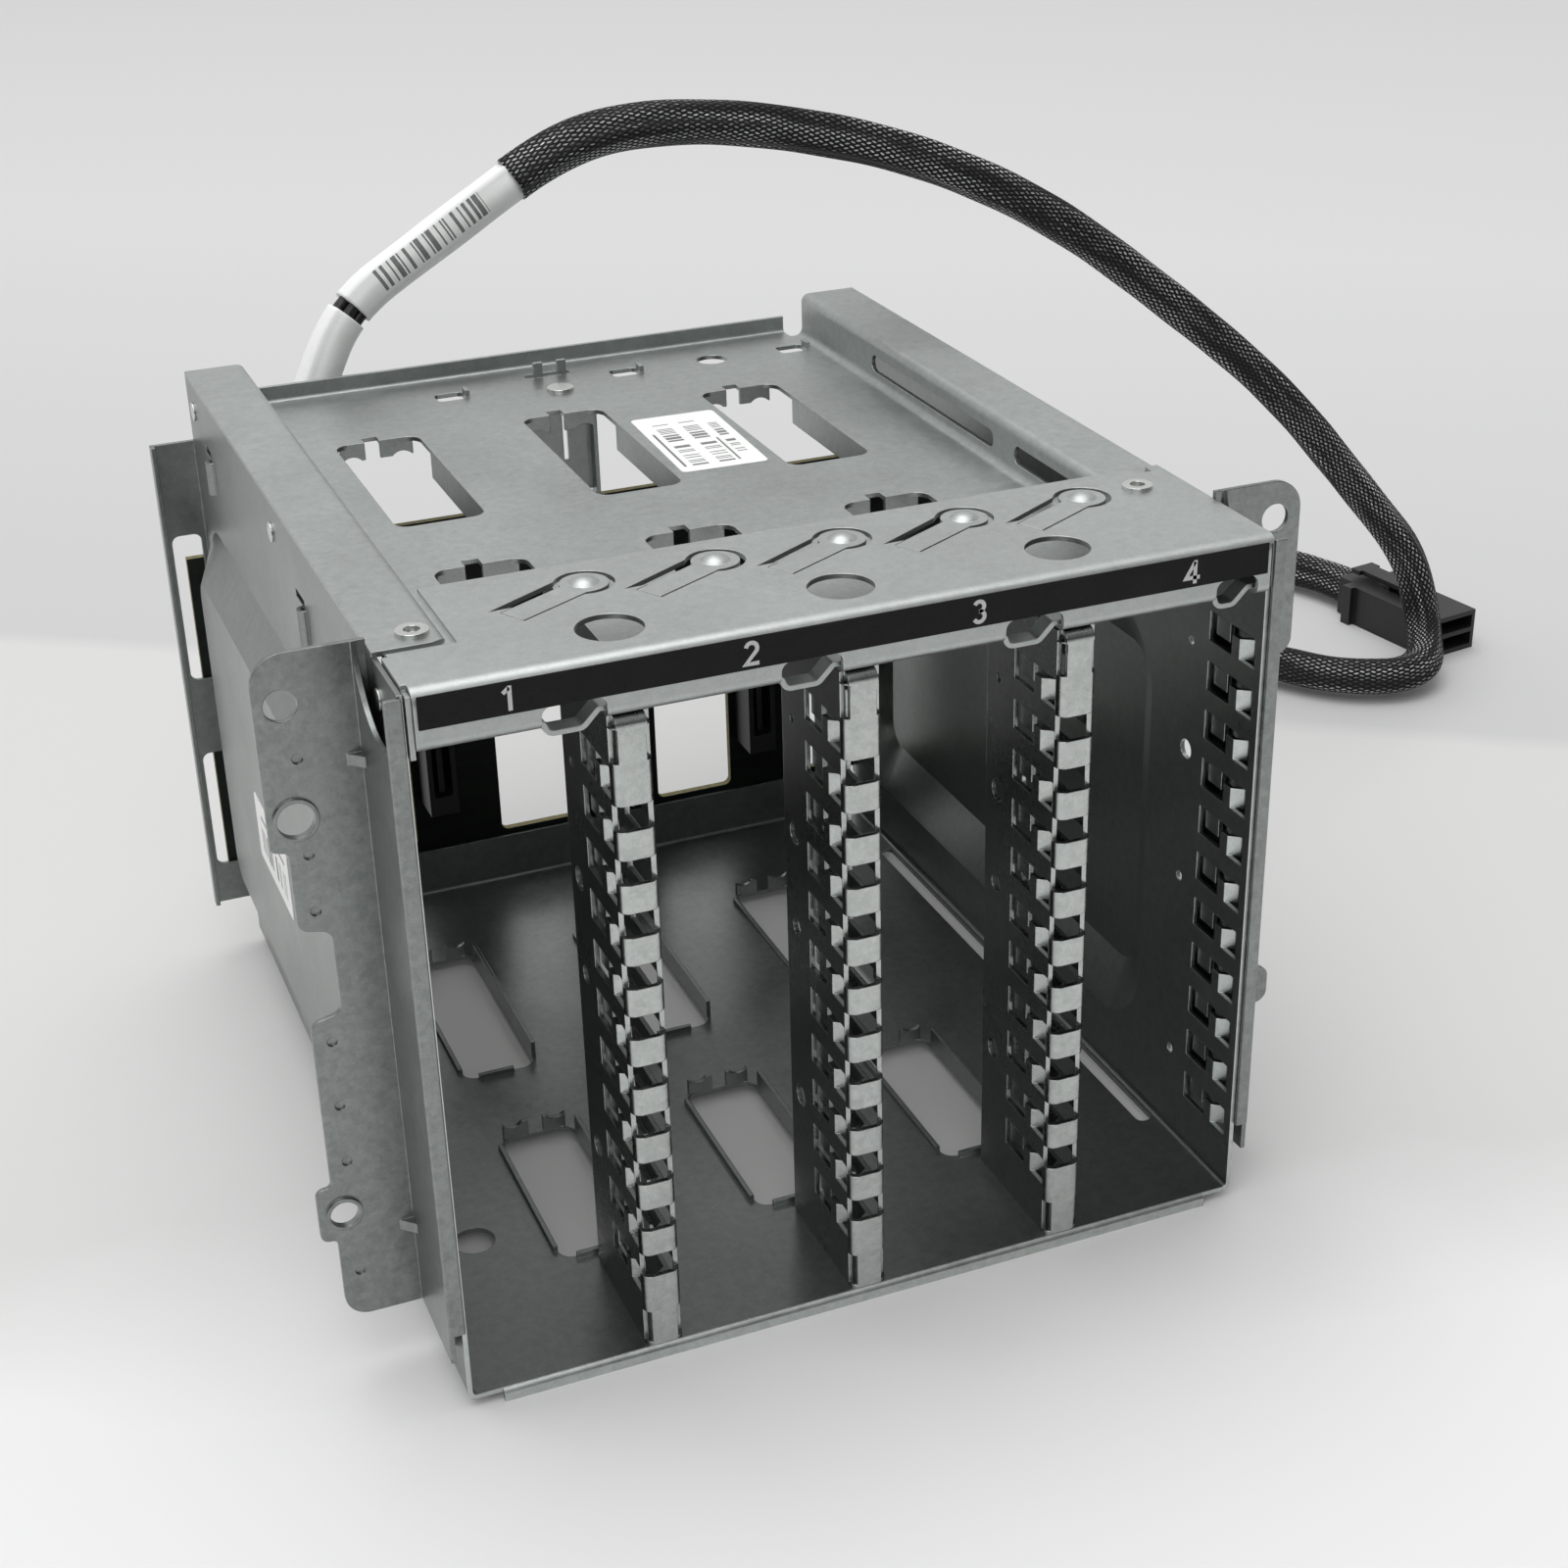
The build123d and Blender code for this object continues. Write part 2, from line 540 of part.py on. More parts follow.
def header_loop(x):
    """Trough formed down from the header's lower fold beside a bay."""
    line = [
        (x[0] - 1.5, COVER_TOP + T),
        (x[0] + 0.9, COVER_TOP + T),
        (x[0] + 1.5, LOOP_BOTTOM),
        (x[1] - 3.4, LOOP_BOTTOM),
        (x[1] - 1.0, COVER_TOP + 1.9 * T),
        (x[1] + 1.2, COVER_TOP + 1.9 * T),
    ]
    return along_y(folded(line, Side.RIGHT, T + 0.1), (0.3, 3.4))


def finger_outline():
    """Outline of a spring finger in its own axes: dome at the origin, root at -X."""
    return span((-FINGER_LENGTH, 0), FINGER_EDGES) + Circle(FINGER_TIP_RADIUS)


def finger_slit():
    """Opening round a finger, widened to a wedge on its rear left."""
    low = FINGER_EDGES[0] - FINGER_GAP
    arm = span((-FINGER_LENGTH - ROOT_GAP, 0), (low, FINGER_EDGES[1] + ROOT_GAP))
    wedge = Polygon(
        (-2.0, FINGER_EDGES[1]),
        (-2.0, FINGER_EDGES[1] + WEDGE_WIDTH + 0.5),
        (-FINGER_LENGTH - 1.0, FINGER_EDGES[1] + WEDGE_WIDTH),
        (-FINGER_LENGTH + 2.6, FINGER_EDGES[1]),
        align=None,
    )
    return arm + wedge + Circle(FINGER_TIP_RADIUS + TIP_GAP)


def finger_place(i):
    """Where finger i sits: dome centre on the header's top, turned to its angle."""
    return Pos(FINGER_FIRST_X + i * FINGER_PITCH, FINGER_Y, 0) * Rot(0, 0, FINGER_ANGLE)


def front_header():
    """Front beam above the bays: flat top, label face and lower fold."""
    section = folded([
        (HEADER_REAR, HEADER_TOP),
        (HEADER_FRONT, HEADER_TOP),
        (HEADER_FRONT, COVER_TOP),
        (HEADER_RETURN, COVER_TOP),
    ], Side.LEFT, HEADER_BENDS)
    body = along_x(section, HEADER_X)
    joggle_y = (LEFT_RAIL_FRONT - 1.0, HEADER_REAR)
    joggle_x = (HEADER_X[0], 0.8 - WEB_X)
    step = HEADER_TOP - LEFT_RAIL_BOTTOM
    body -= block(joggle_x, joggle_y, (HEADER_TOP - step, HEADER_TOP + 1))
    body += block(joggle_x, joggle_y, (HEADER_UNDER - step, HEADER_TOP - step))

    body -= block((WALL_IN - FIT, WALL_OUT + 1), (FRONT_Y, HEADER_REAR + 1), (0, HEADER_UNDER))
    flange_x = (FIT / 2 - WALL_IN, END_FLANGE[0] - WALL_IN)
    body += block(flange_x, (HEADER_FRONT + 0.5, LEFT_RAIL_FRONT - 2), (HEADER_TOP - T - END_FLANGE[1], HEADER_TOP - T))
    body += block((flange_x[0], HEADER_X[0] + 1), (HEADER_FRONT + 3, LEFT_RAIL_FRONT - 2), (HEADER_UNDER, HEADER_TOP))
    corner_notch = block((WALL_OUT - 5.0, WALL_OUT - 2.4), (HEADER_REAR - 2.2, HEADER_REAR + 1),
                         (HEADER_UNDER - 1, HEADER_TOP + 1))
    body -= corner_notch

    for centre in BAY_CENTRES:
        x = (centre + NOTCH_X[0], min(centre + NOTCH_X[1], WALL_IN - FIT - 2.0))
        notch = round_span(x, (COVER_TOP - 3, NOTCH_TOP), 1.6)
        body -= along_y(notch, (HEADER_FRONT - 1, HEADER_FRONT + BEND + 1))
        body -= block(x, (HEADER_FRONT - 1, COVER_FRONT), (COVER_TOP - 1, COVER_TOP + BEND))
        body += header_loop(x)
    through = (HEADER_UNDER - 1, HEADER_TOP + 1)
    for x in DIVIDERS_X:
        body -= rod_z(x + HOLE_SHIFT, HOLE_Y, HOLE_RADIUS, through)
    for i in range(FINGER_COUNT):
        body -= along_z(finger_place(i) * finger_slit(), through)
    for x, y in SCREWS:
        body -= rod_z(x, y, SCREW_SHANK + FIT / 2, through)
    return body


def spring_finger(i):
    """Arm with a pressed dome that bears on the bay roof when the cage is slid in."""
    body = along_z(finger_outline(), (HEADER_UNDER, HEADER_TOP))
    cap = DOME_RADIUS ** 2 / (2 * DOME_HEIGHT) + DOME_HEIGHT / 2
    dome = Pos(0, 0, HEADER_TOP + DOME_HEIGHT - cap) * Sphere(cap)
    body += dome & rod_z(0, 0, DOME_RADIUS + 1, (HEADER_TOP - T / 2, HEADER_TOP + 2))
    return finger_place(i) * body


def label_strip():
    z = (NOTCH_TOP, HEADER_TOP - 0.7)
    return block((HEADER_X[0] + 0.5, HEADER_X[1] - 1.5), (FRONT_Y, HEADER_FRONT), z)


# Side brackets

def bracket_leg(inner):
    """Leg along the side wall with a hollow relief above, and its hem on the wall's edge."""
    leg = span((-BEAD_T / 2, EAR_Y + T), (BRACKET_BOTTOM, EAR_TOP))
    relief_y = EAR_Y - RELIEF_RADIUS
    relief_z = EAR_TOP + 1.4
    leg -= Pos(relief_y, relief_z) * Circle(RELIEF_RADIUS)
    leg -= span((-BEAD_T, relief_y), (relief_z - RELIEF_RADIUS, EAR_TOP + 1))
    bead = round_span((inner, LEG_X + T), (-BEAD_T, 0), BEAD_T / 2 - 0.05)
    bead_z = (BEAD_BOTTOM, LEFT_RAIL_BOTTOM - FIT)
    return along_x(leg, (LEG_X, LEG_X + T)) + along_z(bead, bead_z)


def bracket(side, ear, holes):
    """Leg against the side wall, and an ear folded outward from it."""
    ear_y = (EAR_Y, EAR_Y + T)
    plate = along_y(ear, ear_y)
    for x, z, radius, ringed in holes:
        if ringed:
            plate += rod_y(x, z, radius + RING_WALL, (EAR_Y - RING_RISE, EAR_Y))
        plate -= rod_y(x, z, radius, (EAR_Y - 1, EAR_Y + 2))
    body = bracket_leg(WALL_OUT - (0.1 if side > 0 else 0.5)) + plate
    inner = LEG_X + T - 0.1
    dart = Polygon((inner, EAR_Y), (inner + DART, EAR_Y), (inner, EAR_Y - DART), align=None)
    for z in DART_LEVELS:
        body += along_z(dart, (z - DART_HALF, z + DART_HALF))
    if side > 0:
        return body
    for z in DIMPLE_LEVELS:
        body -= rod_y(EAR_X - 5.0, z, DIMPLE_RADIUS, (EAR_Y - 1, EAR_Y + DIMPLE_DEPTH))
    return mirror(body, Plane.YZ)


def left_ear():
    """Outline of the left ear, with its steps, upper plate and lower lug."""
    points = [
        (WALL_OUT, BRACKET_BOTTOM),
        (EAR_X - 2.1, BRACKET_BOTTOM),
        (EAR_X - 2.1, 24.8),
        (EAR_X + 0.4, 24.8),
        (EAR_X + 0.4, 34.4),
        (EAR_X - 2.1, 34.4),
        (EAR_X - 2.1, 63.6),
        (EAR_X - 6.9, 64.6),
        (EAR_X - 6.9, 78.4),
        (EAR_X - 2.1, 79.4),
        (EAR_X - 2.1, 92.2),
        (EAR_X + 0.4, 92.8),
        (EAR_X + 0.4, EAR_TOP),
        (WALL_OUT, EAR_TOP),
    ]
    return rounded(points, [4.0, 0.9, 1.4, 1.4, 0.9, 1.9, 1.9, 1.9, 1.9, 0.9, 0.9, 5.0])


def right_ear():
    """Outline of the right ear, which is narrow between its plate and its lug."""
    points = [
        (WALL_OUT, BRACKET_BOTTOM),
        (EAR_X - 5.0, BRACKET_BOTTOM),
        (EAR_X - 5.0, 26.0),
        (EAR_X - 0.2, 26.0),
        (EAR_X - 0.2, 33.2),
        (EAR_X - 5.0, 33.2),
        (EAR_X - 5.0, 92.6),
        (EAR_X - 0.4, 92.6),
        (EAR_X - 0.4, EAR_TOP),
        (WALL_OUT, EAR_TOP),
    ]
    return rounded(points, [4.0, 1.4, 2.2, 2.2, 1.4, 1.4, 2.8, 5.0])


LEFT_HOLES = [
    (EAR_X - 3.5, 115.0, 2.4, False),
    (EAR_X - 3.7, 97.3, 2.75, True),
    (EAR_X - 3.6, 29.4, 2.25, True),
]
RIGHT_HOLES = [(EAR_X - 5.0, 116.6, 2.4, False), (EAR_X - 4.2, 29.4, 2.0, False)]


# Backplane

def backplane_board():
    body = block((-BOARD_HALF_WIDTH, BOARD_HALF_WIDTH), (BOARD_FRONT, BOARD_REAR), BOARD_Z)
    for centre in BAY_CENTRES:
        x = (centre + BOARD_WINDOW_X[0], min(centre + BOARD_WINDOW_X[1], WALL_IN - 2.0))
        cut = round_span(x, BOARD_WINDOW_Z, 1.5)
        body -= along_y(cut, (BOARD_FRONT - 1, BOARD_REAR + 1))
    return body


def drive_connector(centre):
    """Upright receptacle with its contact tongue recessed in the mouth."""
    x = (centre + SOCKET_X[0], centre + SOCKET_X[1])
    y = (BOARD_FRONT - SOCKET_DEPTH, BOARD_FRONT)
    body = block(x, y, SOCKET_Z)
    mouth = (x[0] + SOCKET_WALL, x[1] - SOCKET_WALL)
    body -= block(mouth, (y[0] - 1, y[1] - 2.0), (SOCKET_Z[0] + 4.0, SOCKET_Z[1] - 4.0))
    middle = (x[0] + x[1]) / 2
    tongue = (middle - 0.6, middle + 0.6)
    body += block(tongue, (y[0] + 1.5, y[1] - 1.5), (SOCKET_Z[0] + 4.5, SOCKET_Z[1] - 4.5))
    return body


def power_header():
    """Upward socket on the board's rear that takes the cord's plug."""
    half = PLUG_SIZE[0] / 2
    x = (PLUG_X - half - SOCKET_LIP, PLUG_X + half + SOCKET_LIP)
    body = block(x, (BOARD_REAR, REAR_Y), POWER_Z)
    cavity = span((x[0] + 1.0, x[1] - 1.0), (BOARD_REAR + 0.9, REAR_Y - 0.9))
    return body - along_z(cavity, (POWER_Z[0] + 2.0, POWER_Z[1] + 1))


def backplane_plug():
    """Plug seated in the power header, with its wires leaving upwards."""
    half = PLUG_SIZE[0] / 2
    plan = span((PLUG_X - half - 0.2, PLUG_X + half + 0.2), (BOARD_REAR + 0.9, REAR_Y - 0.9))
    return along_z(plan, (POWER_Z[0] + 2.0, POWER_Z[0] + 2.0 + PLUG_SIZE[2]))


def data_connector():
    """Shielded receptacle for the data cable on the board's rear."""
    body = block(DATA_X, (BOARD_REAR, BOARD_REAR + 8.0), DATA_Z)
    mouth_x = (DATA_X[0] + 1, DATA_X[1] - 1)
    return body - block(mouth_x, (BOARD_REAR + 2.0, BOARD_REAR + 9.0), (DATA_Z[0] + 1, DATA_Z[1] - 1))


# Fasteners and labels

def torx_screw(x, y, z):
    """Low head resting on the sheet, with its shank through both sheets."""
    top = z + SCREW_HEAD_HEIGHT
    head = rod_z(x, y, SCREW_HEAD, (z, top)) + rod_z(x, y, SCREW_SHANK, (z - 3.5, z))
    return head - rod_z(x, y, 1.2, (z - 0.4, top + 1))


def header_screws():
    levels = (LEFT_RAIL_TOP, HEADER_TOP)
    return [torx_screw(x, y, z) for (x, y), z in zip(SCREWS, levels)]


def backplane_screws():
    """Pan heads on the board's rear."""
    made = []
    for x in (2.2 - BOARD_HALF_WIDTH, BOARD_HALF_WIDTH - 2.2):
        for z in (BOARD_Z[0] + 12, sum(BOARD_Z) / 2, BOARD_Z[1] - 7):
            made.append(rod_y(x, z, 2.0, (BOARD_REAR, BOARD_REAR + 1.4)))
    return made


def top_label():
    place = Pos(13.9, 0.65875 * BOX_DEPTH, COVER_TOP) * Rot(0, 0, -1.8)
    return extrude(place * RectangleRounded(16.0, 31.4, 1.0), 0.1)


def side_label():
    """Blank sticker on the left wall's bulge."""
    face = -WALL_OUT - EMBOSS_RISE
    middle = 0.6125 * BOX_DEPTH
    sticker = round_span((middle - 14.0, middle + 14.0), (44.0, 57.0), 1.0)
    return along_x(sticker, (face - 0.1, face + 0.01))


def rivets():
    """Flush heads on the cover and the header's fold, and clinches on the left wall."""
    made = [rod_z(0.6, BOARD_FRONT - 14.5, 2.6, (COVER_TOP, COVER_TOP + 0.7))]
    for x in DIVIDERS_X:
        made.append(rod_z(x + 8.0, 12.0, 2.0, (COVER_TOP + T, COVER_TOP + T + 0.5)))
    for y in (11.3, 0.52125 * BOX_DEPTH, BOX_DEPTH - 7.0):
        made.append(rod_x(y, LEFT_RAIL_BOTTOM - 5.2, 1.7, (-WALL_OUT - 0.35, -WALL_OUT)))
    return made


def end_plug():
    """Two-row plug with its mating face at local +X."""
    body = block((0, 8.0), (-5.6, 5.6), (0.4, END_PLUG_TOP))
    body += block((5.0, 8.0), (-9.0, 9.0), (0, END_PLUG_TOP))
    body += block((8.0, 36.0), (-7.5, 7.5), (0, END_PLUG_TOP))
    for z in ((1.2, 4.6), (5.8, 9.2)):
        body -= block((29.0, 37.0), (-6.5, 6.5), z)
    body += block((13.0, 15.0), (-2.5, 2.5), (END_PLUG_TOP, END_PLUG_TOP + LATCH_LIFT - LATCH_GAP))
    return end_plug_place() * body


def end_plug_latch():
    """Rocking latch: thumb end at the cord, hook towards the mating face."""
    z = (END_PLUG_TOP + LATCH_LIFT, END_PLUG_TOP + LATCH_LIFT + 1.2)
    body = block((2.0, 27.0), (-2.5, 2.5), z)
    body += block((25.4, 27.0), (-2.5, 2.5), (END_PLUG_TOP + LATCH_GAP, z[1]))
    body += block((2.0, 5.0), (-3.5, 3.5), z)
    return end_plug_place() * body


def end_plug_place():
    """At the cord's last point, in line with its last run."""
    before, last = BRAID_ROUTE[-2:]
    turn = math.degrees(math.atan2(last[1] - before[1], last[0] - before[0]))
    return Pos(last[0], last[1], 0) * Rot(0, 0, turn)


# Power cord

def smooth_path(points):
    """Straight runs joined by arcs as large as their runs allow."""
    vectors = [Vector(*point) for point in points]
    runs = [b - a for a, b in zip(vectors, vectors[1:])]
    radii = []
    for before, after in zip(runs, runs[1:]):
        half_turn = math.radians(before.get_angle(after)) / 2
        radii.append(RUN_SHARE * min(before.length, after.length) / math.tan(half_turn))
    print("radii", [round(radius, 1) for radius in radii])
    return FilletPolyline(*vectors, radius=radii)


def tube(points, diameter, inner=0, part=None):
    """Solid of a cord along its route, or of a sleeve over part of it."""
    path = smooth_path(points)
    if part:
        path = path.trim(*part)
    start = Plane(path @ 0, z_dir=path % 0)
    ring = Circle(diameter / 2)
    if inner:
        ring -= Circle(inner / 2)
    body = sweep(start * ring, path=path)
    area = math.pi * (diameter ** 2 - inner ** 2) / 4
    print("volume", round(body.volume), "section by length", round(area * path.length))
    return body


for number, x in enumerate(DIVIDERS_X, 1):
    pieces[f"divider_{number}"] = divider(x)
pieces["cage_pan"] = cage_pan()
pieces["top_cover"] = top_cover()
pieces["front_header"] = front_header()
for i in range(FINGER_COUNT):
    pieces[f"spring_finger_{i + 1}"] = spring_finger(i)
pieces["label_strip"] = label_strip()
pieces["left_side_bracket"] = bracket(-1, left_ear(), LEFT_HOLES)
pieces["right_side_bracket"] = bracket(1, right_ear(), RIGHT_HOLES)
pieces["backplane_board"] = backplane_board()
for number, centre in enumerate(BAY_CENTRES, 1):
    pieces[f"drive_connector_{number}"] = drive_connector(centre)
pieces["power_header"] = power_header()
pieces["backplane_plug"] = backplane_plug()
pieces["data_connector"] = data_connector()
pieces["header_screws"] = Compound(header_screws())
pieces["backplane_screws"] = Compound(backplane_screws())
pieces["top_label"] = top_label()
pieces["side_label"] = side_label()
pieces["rivets"] = Compound(rivets())
pieces["cord_lead"] = tube(LEAD_ROUTE, WIRE_D)
pieces["cord_sleeve_1"] = tube(LEAD_ROUTE, WIRE_D + 2 * SLEEVE_T, WIRE_D, (0.22, 0.49))
pieces["cord_sleeve_2"] = tube(LEAD_ROUTE, WIRE_D + 2 * SLEEVE_T, WIRE_D, (0.51, 1.0))
pieces["end_plug"] = end_plug()
pieces["end_plug_latch"] = end_plug_latch()
pieces["braided_cord"] = tube(BRAID_ROUTE, BRAID_D)

os.makedirs("parts", exist_ok=True)
for name, shape in pieces.items():
    export_step(Pos(0, -CENTRE_Y, 0) * shape, f"parts/{name}.step")
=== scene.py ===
import math

import bpy
from mathutils import Matrix, Vector


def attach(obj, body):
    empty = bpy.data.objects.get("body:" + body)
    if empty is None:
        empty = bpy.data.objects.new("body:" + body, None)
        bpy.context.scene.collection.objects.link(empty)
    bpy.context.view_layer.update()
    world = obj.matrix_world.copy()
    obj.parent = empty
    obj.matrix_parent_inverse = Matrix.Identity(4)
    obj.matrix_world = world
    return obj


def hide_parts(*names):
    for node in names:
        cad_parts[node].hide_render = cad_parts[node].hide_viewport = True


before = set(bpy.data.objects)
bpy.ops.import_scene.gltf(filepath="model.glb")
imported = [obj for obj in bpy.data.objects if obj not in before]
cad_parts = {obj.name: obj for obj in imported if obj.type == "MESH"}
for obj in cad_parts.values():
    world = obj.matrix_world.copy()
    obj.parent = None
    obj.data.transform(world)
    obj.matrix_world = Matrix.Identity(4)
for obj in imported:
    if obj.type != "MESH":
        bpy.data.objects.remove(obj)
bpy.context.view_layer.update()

MM = 0.001
CENTRE_Y = 84.8  # part.py draws the pieces this far further back
BAY_PITCH = 35.3


def at(x, y, z):
    """A point of part.py's drawing frame, in the row frame, in metres."""
    return (x * MM, (y - CENTRE_Y) * MM, z * MM)


def show(name, data):
    """A new object in the scene for a mesh, camera or lamp."""
    made = bpy.data.objects.new(name, data)
    bpy.context.scene.collection.objects.link(made)
    return made


# Camera, as fitted to the photograph

SENSOR_WIDTH = 36
FOCAL_LENGTH = 56.895
CAMERA_PLACE = (-130.444, -298.39, 256.346)
CAMERA_HEADING = -21.528  # degrees from straight back, to the right where negative
CAMERA_DROP = 26.497  # degrees below level
CAMERA_ROLL = -1.537  # degrees


def make_camera():
    data = bpy.data.cameras.new("camera")
    data.sensor_width = SENSOR_WIDTH
    data.lens = FOCAL_LENGTH
    data.clip_start = 0.01
    data.clip_end = 50
    camera = show("camera", data)
    turn = (
        Matrix.Rotation(math.radians(CAMERA_HEADING), 4, "Z")
        @ Matrix.Rotation(math.radians(90 - CAMERA_DROP), 4, "X")
        @ Matrix.Rotation(math.radians(CAMERA_ROLL), 4, "Z")
    )
    camera.matrix_world = Matrix.Translation(at(*CAMERA_PLACE)) @ turn
    bpy.context.scene.camera = camera


make_camera()

# Cords: routes and sections in part.py's millimetres

LEAD_ROUTE = [
    (-47, 166.35, 88),
    (-47, 166.35, 100),
    (-41.8, 169.5, 113),
    (-33.5, 172.5, 126.5),
    (-17, 175, 135.3),
    (2.4, 176, 146.3),
]
BRAID_ROUTE = [
    (2.4, 176, 146.3),
    (13.555, 176.575, 152.625),
    (34, 177.5, 154.6),
    (60, 178, 151.2),
    (92, 178, 141.8),
    (124, 178, 125.5),
    (155, 177.5, 102),
    (184.5, 177, 77),
    (210, 176.5, 47.5),
    (225, 176.5, 30),
    (231, 176, 9.5),
    (219.5, 158.5, 5.6),
    (199.5, 166, 5.6),
    (189, 184, 5.6),
    (172, 203, 5.6),
    (163, 227, 5.6),
    (174, 250, 5.6),
    (198, 256, 5.6),
    (219, 245, 5.6),
    (233, 229.5, 5.6),
    (235.5, 213, 5.6),
]
ROUTE_STEPS = 24  # steps of the smooth line in each span of a route
WIRE_COUNT = 7
WIRE_RADIUS = 1.2
WIRE_RING = 2.35  # from the bundle's middle to an outer wire's middle
WIRE_LAY = 0.06  # metres in which the wires twist by one radian
SLEEVE_RADIUS = 4.1
SLEEVE_DENT = 0.05  # between the wires
SLEEVE_WAVE = 0.04
SLEEVE_SPANS = ((0.22, 0.49), (0.51, 1.0))  # shares of the lead's length
SEAM_HEIGHT = 0.55
SEAM_TURN = 5.35  # radians round the sleeve
SEAM_WIDTH = 0.16
BRAID_RADIUS = 4.62
BRAID_LAY = 0.05  # metres in which the ridges twist by one radian
BRAID_RIDGES = (0.34, 0.16)
BRAID_SWELLS = (0.06, 0.05)
BRAID_FLATTENED = (1.02, 0.94)  # across and upwards


def spline_points(name, route):
    """Points of the smooth NURBS line whose control points are the route's."""
    data = bpy.data.curves.new(name, "CURVE")
    data.dimensions = "3D"
    spline = data.splines.new("NURBS")
    spline.points.add(len(route) - 1)
    for point, place in zip(spline.points, route):
        point.co = (*at(*place), 1)
    spline.order_u = 3
    spline.use_endpoint_u = True
    spline.resolution_u = ROUTE_STEPS
    curve = bpy.data.objects.new(name, data)
    mesh = bpy.data.meshes.new_from_object(curve)
    points = [vertex.co.copy() for vertex in mesh.vertices]
    bpy.data.objects.remove(curve)
    bpy.data.meshes.remove(mesh)
    return points


def along(points):
    """How far along the line each of its points is."""
    done = [0.0]
    for a, b in zip(points, points[1:]):
        done.append(done[-1] + (b - a).length)
    return done


def frames(points):
    """Axes across the line at each of its points, turned as little as the line allows."""
    made = []
    up = Vector((0, 0, 1))
    for i in range(len(points)):
        ahead = (points[min(i + 1, len(points) - 1)] - points[max(i - 1, 0)]).normalized()
        if not made:
            first = ahead.cross(up)
            up = first.cross(ahead) if first.length > 0.1 else Vector((0, 1, 0))
        else:
            up = made[-1][1]
        side = ahead.cross(up).normalized()
        up = side.cross(ahead).normalized()
        made.append((side, up))
    return made


def tube(name, points, section, rings, first=0.0, last=1.0, strands=1):
    """Mesh round a line, from one share of its length to another.

    section(angle, place, strand) gives the offsets of a strand's skin in millimetres.
    The UV map has metres along the line and the share of a turn round it.
    """
    done = along(points)
    axes = frames(points)
    start_at, end_at = first * done[-1] - 1e-9, last * done[-1] + 1e-9
    chosen = [i for i, place in enumerate(done) if start_at <= place <= end_at]
    vertices, faces, uvs = [], [], []
    for strand in range(strands):
        start = len(vertices)
        for i in chosen:
            side, up = axes[i]
            for k in range(rings):
                turn = 2 * math.pi * k / rings
                a, b = section(turn, done[i], strand)
                vertices.append(points[i] + side * a * MM + up * b * MM)
        for row in range(len(chosen) - 1):
            for k in range(rings):
                a = start + row * rings + k
                b = start + row * rings + (k + 1) % rings
                faces.append((a, b, b + rings, a + rings))
                low, high = done[chosen[row]], done[chosen[row + 1]]
                near, far = k / rings, (k + 1) / rings
                uvs += [(low, near), (low, far), (high, far), (high, near)]
        for row, flip in ((0, True), (len(chosen) - 1, False)):
            ring = [start + row * rings + k for k in range(rings)]
            faces.append(tuple(reversed(ring)) if flip else tuple(ring))
            uvs += [(done[chosen[row]], 0.5)] * rings
    mesh = bpy.data.meshes.new(name)
    mesh.from_pydata(vertices, [], faces)
    layer = mesh.uv_layers.new(name="along")
    for loop, uv in zip(layer.data, uvs):
        loop.uv = uv
    for polygon in mesh.polygons:
        polygon.use_smooth = len(polygon.vertices) == 4
    return show(name, mesh)


def wire_section(turn, place, strand):
    """One wire in the middle and the others twisted round it."""
    a, b = WIRE_RADIUS * math.cos(turn), WIRE_RADIUS * math.sin(turn)
    if strand:
        lay = strand * math.pi / 3 + place / WIRE_LAY
        a += WIRE_RING * math.cos(lay)
        b += WIRE_RING * math.sin(lay)
    return a, b


def sleeve_section(turn, place, strand):
    """Printed film wrapped round the wires, pressed in between them, with a lengthwise seam."""
    lay = place / WIRE_LAY
    radius = SLEEVE_RADIUS + SLEEVE_DENT * math.cos(6 * (turn - lay))
    radius += SLEEVE_WAVE * math.sin(turn * 2 + place * 300)
    radius += SEAM_HEIGHT * math.exp(-(((turn - SEAM_TURN - place * 2) / SEAM_WIDTH) ** 2))
    return radius * math.cos(turn), radius * math.sin(turn)


def braid_section(turn, place, strand):
    """Braided sleeve drawn over a bundle, which shows as long soft ridges."""
    lay = place / BRAID_LAY
    ridge = BRAID_RIDGES[0] * math.cos(4 * turn + lay) + BRAID_RIDGES[1] * math.cos(7 * turn - 1.7 * lay + 1)
    swell = BRAID_SWELLS[0] * math.sin(place * 120) + BRAID_SWELLS[1] * math.sin(place * 330 + 2 * turn)
    radius = BRAID_RADIUS + ridge + swell
    return radius * BRAID_FLATTENED[0] * math.cos(turn), radius * BRAID_FLATTENED[1] * math.sin(turn)


lead_points = spline_points("lead_line", LEAD_ROUTE)
lead = tube("lead_wires", lead_points, wire_section, rings=12, strands=WIRE_COUNT)
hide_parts("cord_lead")
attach(lead, "cage")
sleeves = []
for number, (first, last) in enumerate(SLEEVE_SPANS, 1):
    sleeve = tube(f"sleeve_{number}", lead_points, sleeve_section, 40, first, last)
    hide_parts(f"cord_sleeve_{number}")
    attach(sleeve, "cage")
    sleeves.append(sleeve)
braid_points = spline_points("braid_line", BRAID_ROUTE)
braid = tube("braid", braid_points, braid_section, rings=48)
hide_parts("braided_cord")
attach(braid, "cage")

# Materials: texture scales in cells per metre

